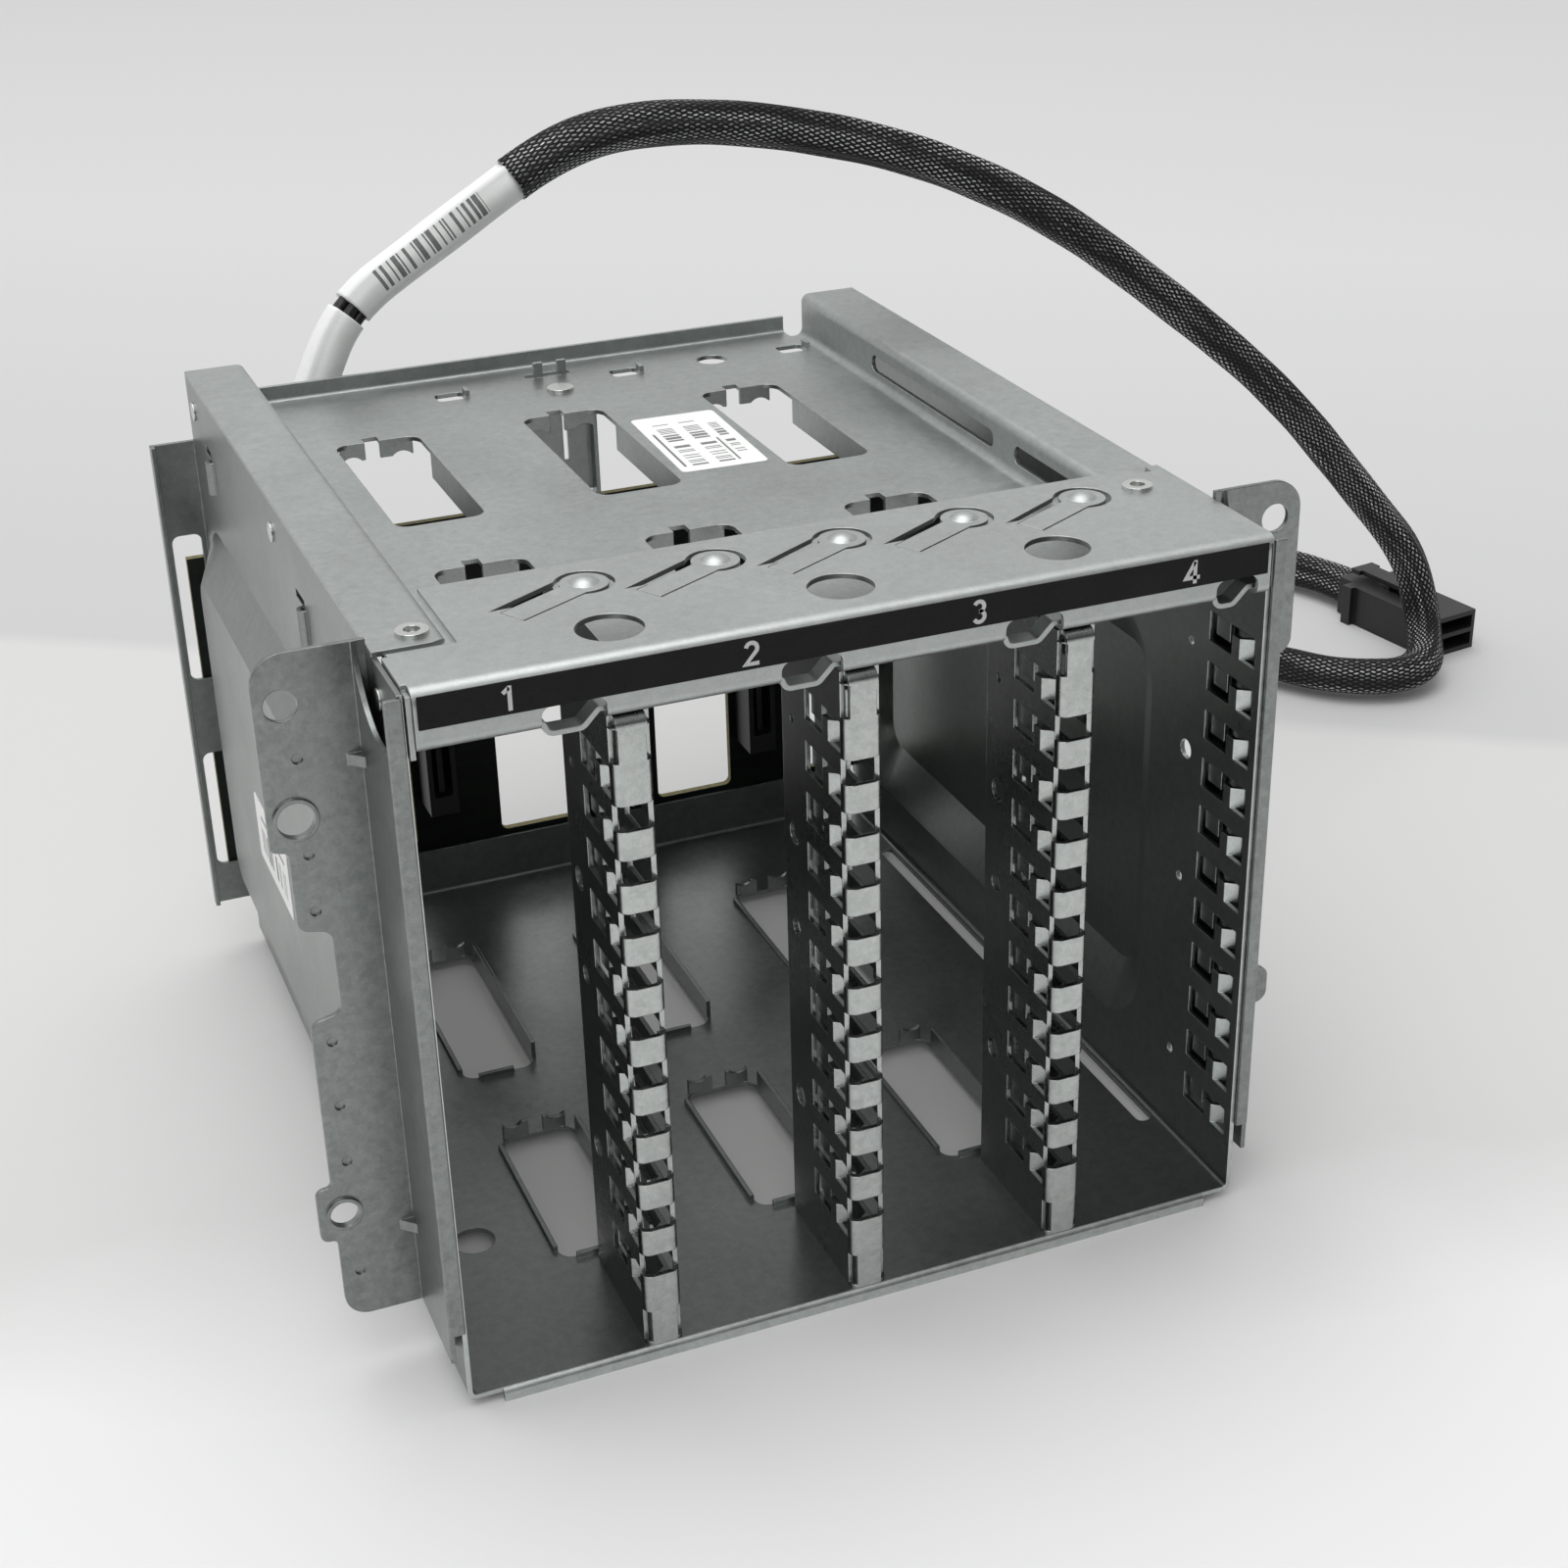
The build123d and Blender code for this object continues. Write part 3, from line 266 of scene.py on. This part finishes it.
CRYSTALS = 850
CLOUDS = 38
BLOOM = 560
GRAIN = 2600
EDGE_RADIUS = 0.22  # millimetres
EDGE_SHINE = 0.22  # how much brighter the cut edges are painted: a painted highlight
MOUTH_Y = (-0.055, -0.06)  # metres, where the bays' mouths fade in
LABEL_TURN = -1.8  # degrees, how the top label lies
STRANDS_ROUND = 28
STRAND_STEP = 0.0024


class Shader:
    """A node material under construction, one value or colour at a time."""

    def __init__(self, name):
        self.material = bpy.data.materials.new(name)
        self.material.use_nodes = True
        self.tree = self.material.node_tree
        self.surface = self.tree.nodes["Principled BSDF"]
        self.place = self.add("ShaderNodeTexCoord").outputs["Object"]

    def add(self, kind, **values):
        node = self.tree.nodes.new(kind)
        for name, value in values.items():
            setattr(node, name, value)
        return node

    def put(self, value, socket):
        """Links a socket to another, or sets its value."""
        if isinstance(value, bpy.types.NodeSocket):
            self.tree.links.new(value, socket)
        else:
            socket.default_value = value

    def calc(self, operation, *values):
        """One sum, product or other operation on sockets and numbers."""
        node = self.add("ShaderNodeMath", operation=operation)
        for value, socket in zip(values, node.inputs):
            self.put(value, socket)
        return node.outputs[0]

    def split(self, vector):
        node = self.add("ShaderNodeSeparateXYZ")
        self.put(vector, node.inputs[0])
        return node.outputs

    def length_map(self):
        """The cords' UV map, metres along and share of a turn round."""
        return self.add("ShaderNodeUVMap", uv_map="along").outputs[0]

    def stretch(self, scale, place=None):
        """Coordinates scaled on each axis, in cells per metre."""
        node = self.add("ShaderNodeVectorMath", operation="MULTIPLY")
        self.put(place or self.place, node.inputs[0])
        node.inputs[1].default_value = scale
        return node.outputs[0]

    def noise(self, scale, detail=2.0, rough=0.5, place=None):
        node = self.add("ShaderNodeTexNoise")
        self.put(place or self.place, node.inputs["Vector"])
        node.inputs["Scale"].default_value = scale
        node.inputs["Detail"].default_value = detail
        node.inputs["Roughness"].default_value = rough
        return node.outputs["Fac"]

    def cells(self, scale):
        """A grey of its own for each crystal of the zinc."""
        node = self.add("ShaderNodeTexVoronoi")
        self.put(self.place, node.inputs["Vector"])
        node.inputs["Scale"].default_value = scale
        split = self.add("ShaderNodeSeparateColor")
        self.put(node.outputs["Color"], split.inputs[0])
        return split.outputs[0]

    def ramp(self, value, low, high, to_low=0.0, to_high=1.0):
        node = self.add("ShaderNodeMapRange")
        given = {"Value": value, "From Min": low, "From Max": high, "To Min": to_low, "To Max": to_high}
        for name, number in given.items():
            self.put(number, node.inputs[name])
        return node.outputs[0]

    def mix(self, share, a, b):
        """Colour a where the share is 0, colour b where it is 1."""
        node = self.add("ShaderNodeMix", data_type="RGBA")
        self.put(share, node.inputs[0])
        self.put((*a, 1) if isinstance(a, tuple) else a, node.inputs[6])
        self.put((*b, 1) if isinstance(b, tuple) else b, node.inputs[7])
        return node.outputs[2]

    def round_edges(self, radius):
        """Normal that rounds the sheet's cut edges, and how near such an edge is."""
        bevel = self.add("ShaderNodeBevel", samples=6)
        bevel.inputs["Radius"].default_value = radius * MM
        turn = self.add("ShaderNodeVectorMath", operation="DOT_PRODUCT")
        self.put(bevel.outputs[0], turn.inputs[0])
        self.put(self.add("ShaderNodeNewGeometry").outputs["Normal"], turn.inputs[1])
        return bevel.outputs[0], self.ramp(turn.outputs["Value"], 0.995, 0.85)

    def mouth(self):
        """1 on faces that look forward near the bays' mouths, 0 elsewhere."""
        facing = self.split(self.add("ShaderNodeNewGeometry").outputs["Normal"])
        forward = self.ramp(facing["Y"], -0.2, -0.6)
        return self.calc("MULTIPLY", forward, self.ramp(self.split(self.place)["Y"], *MOUTH_Y))

    def bump(self, height, depth, normal=None):
        node = self.add("ShaderNodeBump")
        node.inputs["Strength"].default_value = 1.0
        node.inputs["Distance"].default_value = depth * MM
        self.put(height, node.inputs["Height"])
        if normal is not None:
            self.put(normal, node.inputs["Normal"])
        return node.outputs[0]

    def finish(self, colour, roughness, normal=None, metallic=0.0, **values):
        self.put(colour, self.surface.inputs["Base Color"])
        self.put(roughness, self.surface.inputs["Roughness"])
        self.surface.inputs["Metallic"].default_value = metallic
        if normal is not None:
            self.put(normal, self.surface.inputs["Normal"])
        for name, value in values.items():
            self.surface.inputs[name.replace("_", " ")].default_value = value
        return self.material


def steel(name, level, spangle, rough, streak=(60, 60, 60), mouth_light=0.0):
    """Zinc coated sheet: crystals, cloudy patches, grain, faint rolling lines, painted highlights on the cut
    edges.

    The last argument is how much brighter the forward faces at the bays' mouths are painted, as painted
    light.
    """
    made = Shader(name)
    crystals = made.cells(CRYSTALS)
    clouds = made.noise(CLOUDS, 5.0, 0.6)
    bloom = made.noise(BLOOM, 4.0, 0.7)
    grain = made.noise(GRAIN, 2.0, 0.6)
    lines = made.noise(1.0, 3.0, 0.55, made.stretch(streak))
    tone = made.ramp(clouds, 0.3, 0.7, 1 - 0.6 * spangle, 1 + 0.6 * spangle)
    for pattern in (
        made.ramp(crystals, 0, 1, -0.7 * spangle, 0.7 * spangle),
        made.ramp(bloom, 0.35, 0.65, -1.1 * spangle, 1.1 * spangle),
        made.ramp(grain, 0.3, 0.7, -0.05, 0.05),
        made.ramp(lines, 0.35, 0.65, -0.01, 0.01),
    ):
        tone = made.calc("ADD", tone, pattern)
    normal, edge = made.round_edges(EDGE_RADIUS)
    # painted highlight: the tone is raised along the cut edges
    tone = made.calc("MULTIPLY_ADD", edge, EDGE_SHINE, tone)
    # painted light: faces that look out of the bays' mouths are made brighter
    if mouth_light:
        tone = made.calc("MULTIPLY", tone, made.calc("MULTIPLY_ADD", made.mouth(), mouth_light, 1.0))
    grey = made.add("ShaderNodeCombineColor")
    for socket, share in zip(grey.inputs, level):
        made.put(made.calc("MULTIPLY", tone, share), socket)
    roughness = made.ramp(clouds, 0.3, 0.7, rough - 0.06, rough + 0.06)
    roughness = made.calc("ADD", roughness, made.ramp(bloom, 0.3, 0.7, -0.4 * spangle, 0.4 * spangle))
    roughness = made.calc("MULTIPLY_ADD", edge, -0.12, roughness)
    height = made.calc("MULTIPLY_ADD", clouds, 1.5, made.calc("MULTIPLY", grain, 0.12))
    return made.finish(grey.outputs[0], roughness, made.bump(height, 0.05, normal), metallic=1.0)


def plastic(name, colour):
    """Moulded plastic with fine grain, slight sink, and edges painted lighter."""
    made = Shader(name)
    speck = made.noise(3200, 3.0, 0.6)
    sink = made.noise(120, 3.0, 0.5)
    normal, edge = made.round_edges(0.25)
    darker, lighter = (tuple(share * c for c in colour) for share in (0.8, 1.25))
    shade = made.mix(made.ramp(sink, 0.3, 0.7), darker, lighter)
    # the edges are painted lighter than the faces
    shade = made.mix(made.calc("MULTIPLY", edge, 0.5), shade, tuple(c + 0.05 for c in colour))
    roughness = made.ramp(speck, 0.3, 0.7, 0.38, 0.52)
    height = made.calc("MULTIPLY_ADD", sink, 2.0, speck)
    return made.finish(shade, roughness, made.bump(height, 0.02, normal))


def film():
    """Black film with faint dust and a fine grain."""
    made = Shader("label_film")
    grain = made.noise(2400, 3.0, 0.7)
    dust = made.noise(160, 4.0, 0.6)
    shade = made.mix(made.ramp(grain, 0.3, 0.75), (0.004, 0.004, 0.0042), (0.01, 0.01, 0.01))
    shade = made.mix(made.ramp(dust, 0.55, 0.8, 0, 0.25), shade, (0.03, 0.03, 0.029))
    roughness = made.ramp(dust, 0.3, 0.7, 0.5, 0.68)
    return made.finish(shade, roughness, made.bump(grain, 0.012), Specular_IOR_Level=0.22)


def laminate():
    """Circuit board: dark solder mask on its faces, bare glass laminate on its edges."""
    made = Shader("board")
    facing = made.split(made.add("ShaderNodeTexCoord").outputs["Normal"])
    cut = made.ramp(made.calc("ABSOLUTE", facing["Y"]), 0.9, 0.4)
    weave = made.noise(1.0, 2.0, 0.5, made.stretch((900, 5200, 900)))
    traces = made.noise(1.0, 1.0, 0.4, made.stretch((90, 90, 420)))
    mask = made.mix(made.ramp(traces, 0.45, 0.55), (0.0015, 0.003, 0.002), (0.004, 0.009, 0.005))
    edge = made.mix(made.ramp(weave, 0.3, 0.7), (0.12, 0.11, 0.05), (0.3, 0.27, 0.14))
    roughness = made.ramp(cut, 0, 1, 0.4, 0.75)
    normal = made.bump(traces, 0.03)
    return made.finish(made.mix(cut, mask, edge), roughness, normal, Specular_IOR_Level=0.3)


def inside(made, run, across, area):
    """1 within an area: its low and high edge across, its start and end along the run."""
    low, high, start, end = area
    shown = made.calc("GREATER_THAN", across, low)
    shown = made.calc("MULTIPLY", shown, made.calc("LESS_THAN", across, high))
    shown = made.calc("MULTIPLY", shown, made.calc("GREATER_THAN", run, start))
    return made.calc("MULTIPLY", shown, made.calc("LESS_THAN", run, end))


def printed(made, run, across, bars):
    """White sheet with bars of uneven width in its bands and solid rules, in metres."""
    step = made.add("ShaderNodeTexWhiteNoise", noise_dimensions="1D")
    made.put(made.calc("FLOOR", made.calc("MULTIPLY", run, 1 / bars["pitch"])), step.inputs["W"])
    ink = made.calc("GREATER_THAN", step.outputs["Value"], bars["share"])
    gap = made.calc("FRACT", made.calc("MULTIPLY", run, 0.25 / bars["pitch"]))
    ink = made.calc("MULTIPLY", ink, made.calc("GREATER_THAN", gap, 0.25))
    shown = 0.0
    for area in bars["bands"]:
        shown = made.calc("MAXIMUM", shown, inside(made, run, across, area))
    for area in bars["rules"]:
        rule = inside(made, run, across, area)
        ink = made.calc("MAXIMUM", ink, rule)
        shown = made.calc("MAXIMUM", shown, rule)
    fibre = made.noise(1800, 3.0, 0.6)
    stain = made.noise(90, 3.0, 0.5)
    sheet = made.mix(made.ramp(fibre, 0.3, 0.7), (0.9, 0.91, 0.9), (0.94, 0.95, 0.94))
    sheet = made.mix(made.ramp(stain, 0.5, 0.8, 0, 0.35), sheet, (0.7, 0.71, 0.69))
    dark = made.mix(made.ramp(fibre, 0.3, 0.8), (0.07, 0.07, 0.07), (0.16, 0.16, 0.16))
    shade = made.mix(made.calc("MULTIPLY", made.calc("MULTIPLY", ink, shown), 0.9), sheet, dark)
    roughness = made.ramp(stain, 0.3, 0.7, 0.42, 0.55)
    return made.finish(shade, roughness, made.bump(fibre, 0.01))


def paper(name, place, across, turn, bars):
    """White sticker with plain dark bars that run along Y, about its own middle."""
    made = Shader(name)
    moved = made.add("ShaderNodeMapping", vector_type="TEXTURE")
    made.put(made.place, moved.inputs["Vector"])
    moved.inputs["Location"].default_value = place
    moved.inputs["Rotation"].default_value = (0, 0, math.radians(turn))
    axes = made.split(moved.outputs[0])
    return printed(made, axes["Y"], axes[across], bars)


def sleeve_film():
    """The sleeves' white film, with plain bars along it."""
    made = Shader("sleeve_film")
    axes = made.split(made.length_map())
    bars = {
        "pitch": 0.00036,
        "share": 0.3,
        "bands": [(0.68, 0.86, 0.0491, 0.0754), (0.2, 0.34, 0.0491, 0.07)],
        "rules": [(0.36, 0.37, 0.0491, 0.066)],
    }
    return printed(made, axes["X"], axes["Y"], bars)


def woven():
    """Black braided sleeve: crossing strands, with near-white glints painted into the colour in patches as
    painted highlights.
    """
    made = Shader("woven_sleeve")
    axes = made.split(made.length_map())
    round_it = made.calc("MULTIPLY", axes["Y"], math.pi * STRANDS_ROUND)
    down_it = made.calc("MULTIPLY", axes["X"], math.pi / STRAND_STEP)
    one = made.calc("COSINE", made.calc("ADD", round_it, down_it))
    two = made.calc("COSINE", made.calc("SUBTRACT", round_it, down_it))
    which = made.calc("GREATER_THAN", made.calc("MULTIPLY", one, two), 0.0)
    one = made.calc("ABSOLUTE", one)
    two = made.calc("ABSOLUTE", two)
    first = made.calc("MULTIPLY", made.calc("POWER", one, 2.2), made.calc("POWER", two, 0.7))
    second = made.calc("MULTIPLY", made.calc("POWER", two, 2.2), made.calc("POWER", one, 0.7))
    first = made.calc("MULTIPLY", which, first)
    second = made.calc("MULTIPLY", made.calc("SUBTRACT", 1.0, which), second)
    over = made.calc("ADD", first, second)
    patch = made.noise(1.0, 4.0, 0.65, made.stretch((22, 9, 0), made.length_map()))
    fibre = made.noise(5200, 2.0, 0.6)
    # painted highlight: glints on the strand tops, brighter in some rows than others
    glint = made.calc("MULTIPLY", made.ramp(over, 0.45, 0.75), made.ramp(patch, 0.44, 0.62, 0.05, 1.0))
    shade = made.mix(made.ramp(fibre, 0.3, 0.7), (0.003, 0.003, 0.0032), (0.009, 0.009, 0.0095))
    # painted highlight: the glints are mixed into the base colour as near white
    shade = made.mix(glint, shade, (0.8, 0.81, 0.81))
    roughness = made.ramp(glint, 0, 1, 0.7, 0.25)
    normal = made.bump(made.calc("MULTIPLY_ADD", fibre, 0.2, over), 0.25)
    return made.finish(shade, roughness, normal, Specular_IOR_Level=0.3)


def wires():
    """Black wire insulation."""
    made = Shader("wire_insulation")
    speck = made.noise(1500, 3.0, 0.6)
    shade = made.mix(made.ramp(speck, 0.3, 0.7), (0.008, 0.008, 0.008), (0.02, 0.02, 0.02))
    return made.finish(shade, made.ramp(speck, 0.3, 0.7, 0.3, 0.45), made.bump(speck, 0.02))


def number_ink():
    """Worn white ink."""
    made = Shader("number_ink")
    speckle = made.noise(3000, 3.0, 0.6)
    worn = made.mix(made.ramp(speckle, 0.3, 0.7), (0.5, 0.51, 0.5), (0.66, 0.67, 0.66))
    return made.finish(worn, made.ramp(speckle, 0.3, 0.7, 0.45, 0.6), made.bump(speckle, 0.01))


# PAN, EAR and POST are the same zinc sheet as PLATED at darker levels: painted shade for the cage's shaded
# inside, the front-facing ears and the dividers
PLATED = steel("plated_steel", (0.45, 0.474, 0.467), 0.035, 0.44)
COVER = steel("cover_steel", (0.43, 0.455, 0.445), 0.05, 0.42, streak=(40, 600, 600))
PAN = steel("pan_steel", (0.262, 0.279, 0.272), 0.06, 0.34, streak=(600, 40, 600), mouth_light=1.1)
EAR = steel("ear_steel", (0.25, 0.266, 0.26), 0.11, 0.34)
POST = steel("post_steel", (0.19, 0.2, 0.194), 0.08, 0.3, mouth_light=1.5)
SCREW = steel("screw_steel", (0.66, 0.67, 0.65), 0.03, 0.26)
SHELL = steel("shell_steel", (0.5, 0.5, 0.48), 0.03, 0.3)
BLACK = plastic("black_plastic", (0.012, 0.012, 0.0125))
FILM = film()
BOARD = laminate()
TOP_PAPER = paper("top_paper", at(13.9, 105.4, 112.5), "X", LABEL_TURN, {
    "pitch": 0.00042,
    "share": 0.5,
    "bands": [
        (-0.0052, -0.0022, -0.013, 0.012),
        (-0.0002, 0.0028, -0.013, 0.012),
        (0.0046, 0.0064, -0.009, 0.009),
    ],
    "rules": [(-0.0068, -0.0063, -0.013, 0.006), (0.0034, 0.0038, -0.013, 0.0)],
})
SIDE_PAPER = paper("side_paper", at(-72, 98, 50.5), "Z", 0, {
    "pitch": 0.0005,
    "share": 0.5,
    "bands": [(-0.004, 0.001, -0.011, 0.011)],
    "rules": [(0.003, 0.0037, -0.011, 0.009)],
})
SLEEVE = sleeve_film()
WEAVE = woven()
WIRE = wires()
INK = number_ink()

FINISHES = {
    "cage_pan": PAN,
    "top_cover": COVER,
    "front_header": PLATED,
    "label_strip": FILM,
    "left_side_bracket": EAR,
    "right_side_bracket": EAR,
    "backplane_board": BOARD,
    "data_connector": SHELL,
    "header_screws": SCREW,
    "backplane_screws": SCREW,
    "rivets": SCREW,
    "top_label": TOP_PAPER,
    "side_label": SIDE_PAPER,
}
for name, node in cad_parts.items():
    finish = FINISHES.get(name, BLACK)
    if name.startswith("divider"):
        finish = POST
    if name.startswith("spring_finger"):
        finish = PLATED
    node.data.materials.clear()
    node.data.materials.append(finish)
lead.data.materials.append(WIRE)
braid.data.materials.append(WEAVE)
for sleeve in sleeves:
    sleeve.data.materials.append(SLEEVE)

# Bay numbers on the black strip: strokes in shares of a number's height

NUMBER_HEIGHT = 3.7
NUMBER_Y = -1.51  # the strip's face
NUMBER_Z = 118.5
STROKE_WIDTH = 0.17
INK_THICKNESS = 0.01
ARC_STEPS = 12


def arc(x, y, radius, start, end):
    """Points of an arc between two angles in degrees."""
    turns = [math.radians(start + (end - start) * i / ARC_STEPS) for i in range(ARC_STEPS + 1)]
    return [(x + radius * math.cos(turn), y + radius * math.sin(turn)) for turn in turns]


def numeral(name, strokes, place):
    """A number drawn as flat strokes of one width, standing on the strip."""
    vertices, faces = [], []
    for line in strokes:
        line = [Vector((x, y)) for x, y in line]
        start = len(vertices)
        for i, point in enumerate(line):
            before = (point - line[max(i - 1, 0)]).normalized()
            after = (line[min(i + 1, len(line) - 1)] - point).normalized()
            before = before if i else after
            after = after if i < len(line) - 1 else before
            across = Vector((-before.y - after.y, before.x + after.x)).normalized()
            reach = STROKE_WIDTH / 2 / max(0.5, across.dot(Vector((-after.y, after.x))))
            for end in (point - across * reach, point + across * reach):
                vertices.append((end.x * NUMBER_HEIGHT * MM, 0, end.y * NUMBER_HEIGHT * MM))
        for i in range(len(line) - 1):
            a = start + 2 * i
            faces.append((a, a + 2, a + 3, a + 1))
    mesh = bpy.data.meshes.new(name)
    mesh.from_pydata(vertices, [], faces)
    mesh.materials.append(INK)
    made = show(name, mesh)
    made.location = place
    thick = made.modifiers.new("ink", "SOLIDIFY")
    thick.thickness = INK_THICKNESS * MM
    thick.offset = 1
    return made


STROKES = {
    1: [[(-0.2, 0.22), (0.04, 0.42)], [(0.06, 0.5), (0.06, -0.5)]],
    2: [[*arc(0, 0.21, 0.23, 170, -40), (-0.25, -0.42), (0.3, -0.42)]],
    3: [arc(0, 0.21, 0.21, 155, -90), arc(0, -0.21, 0.23, 90, -155)],
    4: [[(0.34, -0.24), (-0.3, -0.24), (0.1, 0.44)], [(0.12, 0.5), (0.12, -0.5)]],
}
for number, strokes in STROKES.items():
    x = (number - 2.5) * BAY_PITCH
    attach(numeral(f"number_{number}", strokes, at(x, NUMBER_Y, NUMBER_Z)), "cage")

# Floor, in metres: tones that change along a few directions, with painted shadow and shade

FLOOR_CORNERS = [(-6, -4, 0), (6, -4, 0), (6, 6, 0), (-6, 6, 0)]
NEAR_DIRECTION = (0.26, 0.966, 0)
BACK_DIRECTION = (0.568, 0.822, 0)
NEAR_EDGE = (-0.05, -0.1)
BACK_EDGE = (0.158, 0.166)
BACK_FADE = (0.17, 0.6)
FRONT_FADE = (-0.25, -0.8)
FLOOR_GLOW = 0.03


def behind(card, direction):
    """How far a point of the floor lies along a direction, in metres."""
    node = card.add("ShaderNodeVectorMath", operation="DOT_PRODUCT")
    card.put(card.place, node.inputs[0])
    node.inputs[1].default_value = direction
    return node.outputs["Value"]


def floor_card():
    """Pale card with painted shadow and shade: darker round the part than on the lighter near side, a dark
    step at the foot of the backdrop that fades lighter behind it, and darker far in front.
    """
    card = Shader("floor_card")
    ripple = card.calc("MULTIPLY", card.calc("SUBTRACT", card.noise(9, 3.0), 0.5), 0.08)
    back = card.calc("ADD", behind(card, BACK_DIRECTION), card.calc("MULTIPLY", ripple, 0.1))
    near = card.calc("ADD", behind(card, NEAR_DIRECTION), ripple)
    # painted shadow: the floor round the part is darker than the near side
    pale = card.mix(card.ramp(near, *NEAR_EDGE), (0.64, 0.64, 0.635), (0.8, 0.8, 0.8))
    # painted shade at the foot of the backdrop, which fades lighter further back
    pale = card.mix(card.ramp(back, *BACK_EDGE), pale, (0.56, 0.56, 0.562))
    pale = card.mix(card.ramp(back, *BACK_FADE), pale, (0.66, 0.66, 0.662))
    # painted shade: the floor darkens far in front of the part, so the steel reflects a dim front
    pale = card.mix(card.ramp(behind(card, (0, 1, 0)), *FRONT_FADE), pale, (0.4, 0.4, 0.4))
    card.surface.inputs["Emission Color"].default_value = (1, 1, 1, 1)
    rays = card.add("ShaderNodeLightPath")
    watched = card.calc("MAXIMUM", rays.outputs["Is Camera Ray"], rays.outputs["Is Glossy Ray"])
    card.put(card.calc("MULTIPLY", watched, FLOOR_GLOW), card.surface.inputs["Emission Strength"])
    return card.finish(pale, 0.8, Specular_IOR_Level=0.2)


floor_mesh = bpy.data.meshes.new("floor")
floor_mesh.from_pydata(FLOOR_CORNERS, [], [(0, 1, 2, 3)])
floor = show("floor", floor_mesh)
floor.data.materials.append(floor_card())

# World: dim in front, bright behind and overhead, plain where the camera sees it

SKY_FRONT = 0.04
SKY_BACK = 0.66
SKY_OVERHEAD = 0.25
BACKDROP = (0.72, 0.725, 0.73, 1)


def sky_ramp(sky, socket, start, end, low, high):
    node = sky.nodes.new("ShaderNodeMapRange")
    given = {"From Min": start, "From Max": end, "To Min": low, "To Max": high}
    for name, value in given.items():
        node.inputs[name].default_value = value
    sky.links.new(socket, node.inputs["Value"])
    return node.outputs[0]


def make_world():
    world = bpy.data.worlds.new("world")
    bpy.context.scene.world = world
    world.use_nodes = True
    sky = world.node_tree
    background = sky.nodes["Background"]
    background.inputs["Strength"].default_value = 1.0
    direction = sky.nodes.new("ShaderNodeTexCoord")
    axes = sky.nodes.new("ShaderNodeSeparateXYZ")
    sky.links.new(direction.outputs["Generated"], axes.inputs[0])
    level = sky.nodes.new("ShaderNodeMath")
    level.operation = "ADD"
    depth = sky_ramp(sky, axes.outputs["Y"], -0.35, 0.35, SKY_FRONT, SKY_BACK)
    height = sky_ramp(sky, axes.outputs["Z"], 0.2, 0.9, 0.0, SKY_OVERHEAD)
    sky.links.new(depth, level.inputs[0])
    sky.links.new(height, level.inputs[1])
    rays = sky.nodes.new("ShaderNodeLightPath")
    seen = sky.nodes.new("ShaderNodeMix")
    seen.data_type = "RGBA"
    sky.links.new(rays.outputs["Is Camera Ray"], seen.inputs[0])
    sky.links.new(level.outputs[0], seen.inputs[6])
    seen.inputs[7].default_value = BACKDROP
    sky.links.new(seen.outputs[2], background.inputs["Color"])


make_world()

# Lamps: name, place in metres, watts, width in metres

LAMPS = (
    ("overhead", (-0.2, 0.3, 3.0), 46, 2.5),
    ("front", (-1.2, -1.9, 2.3), 38, 3.0),
)
LAMPS_AIM = Vector((0, 0, 0.06))
for name, place, watts, width in LAMPS:
    lamp = bpy.data.lights.new(name, "AREA")
    lamp.energy = watts
    lamp.size = width
    lamp_object = show(name, lamp)
    lamp_object.location = place
    lamp_object.rotation_euler = (Vector(place) - LAMPS_AIM).to_track_quat("Z", "Y").to_euler()

bpy.context.scene.view_settings.view_transform = "Standard"

bpy.context.view_layer.update()
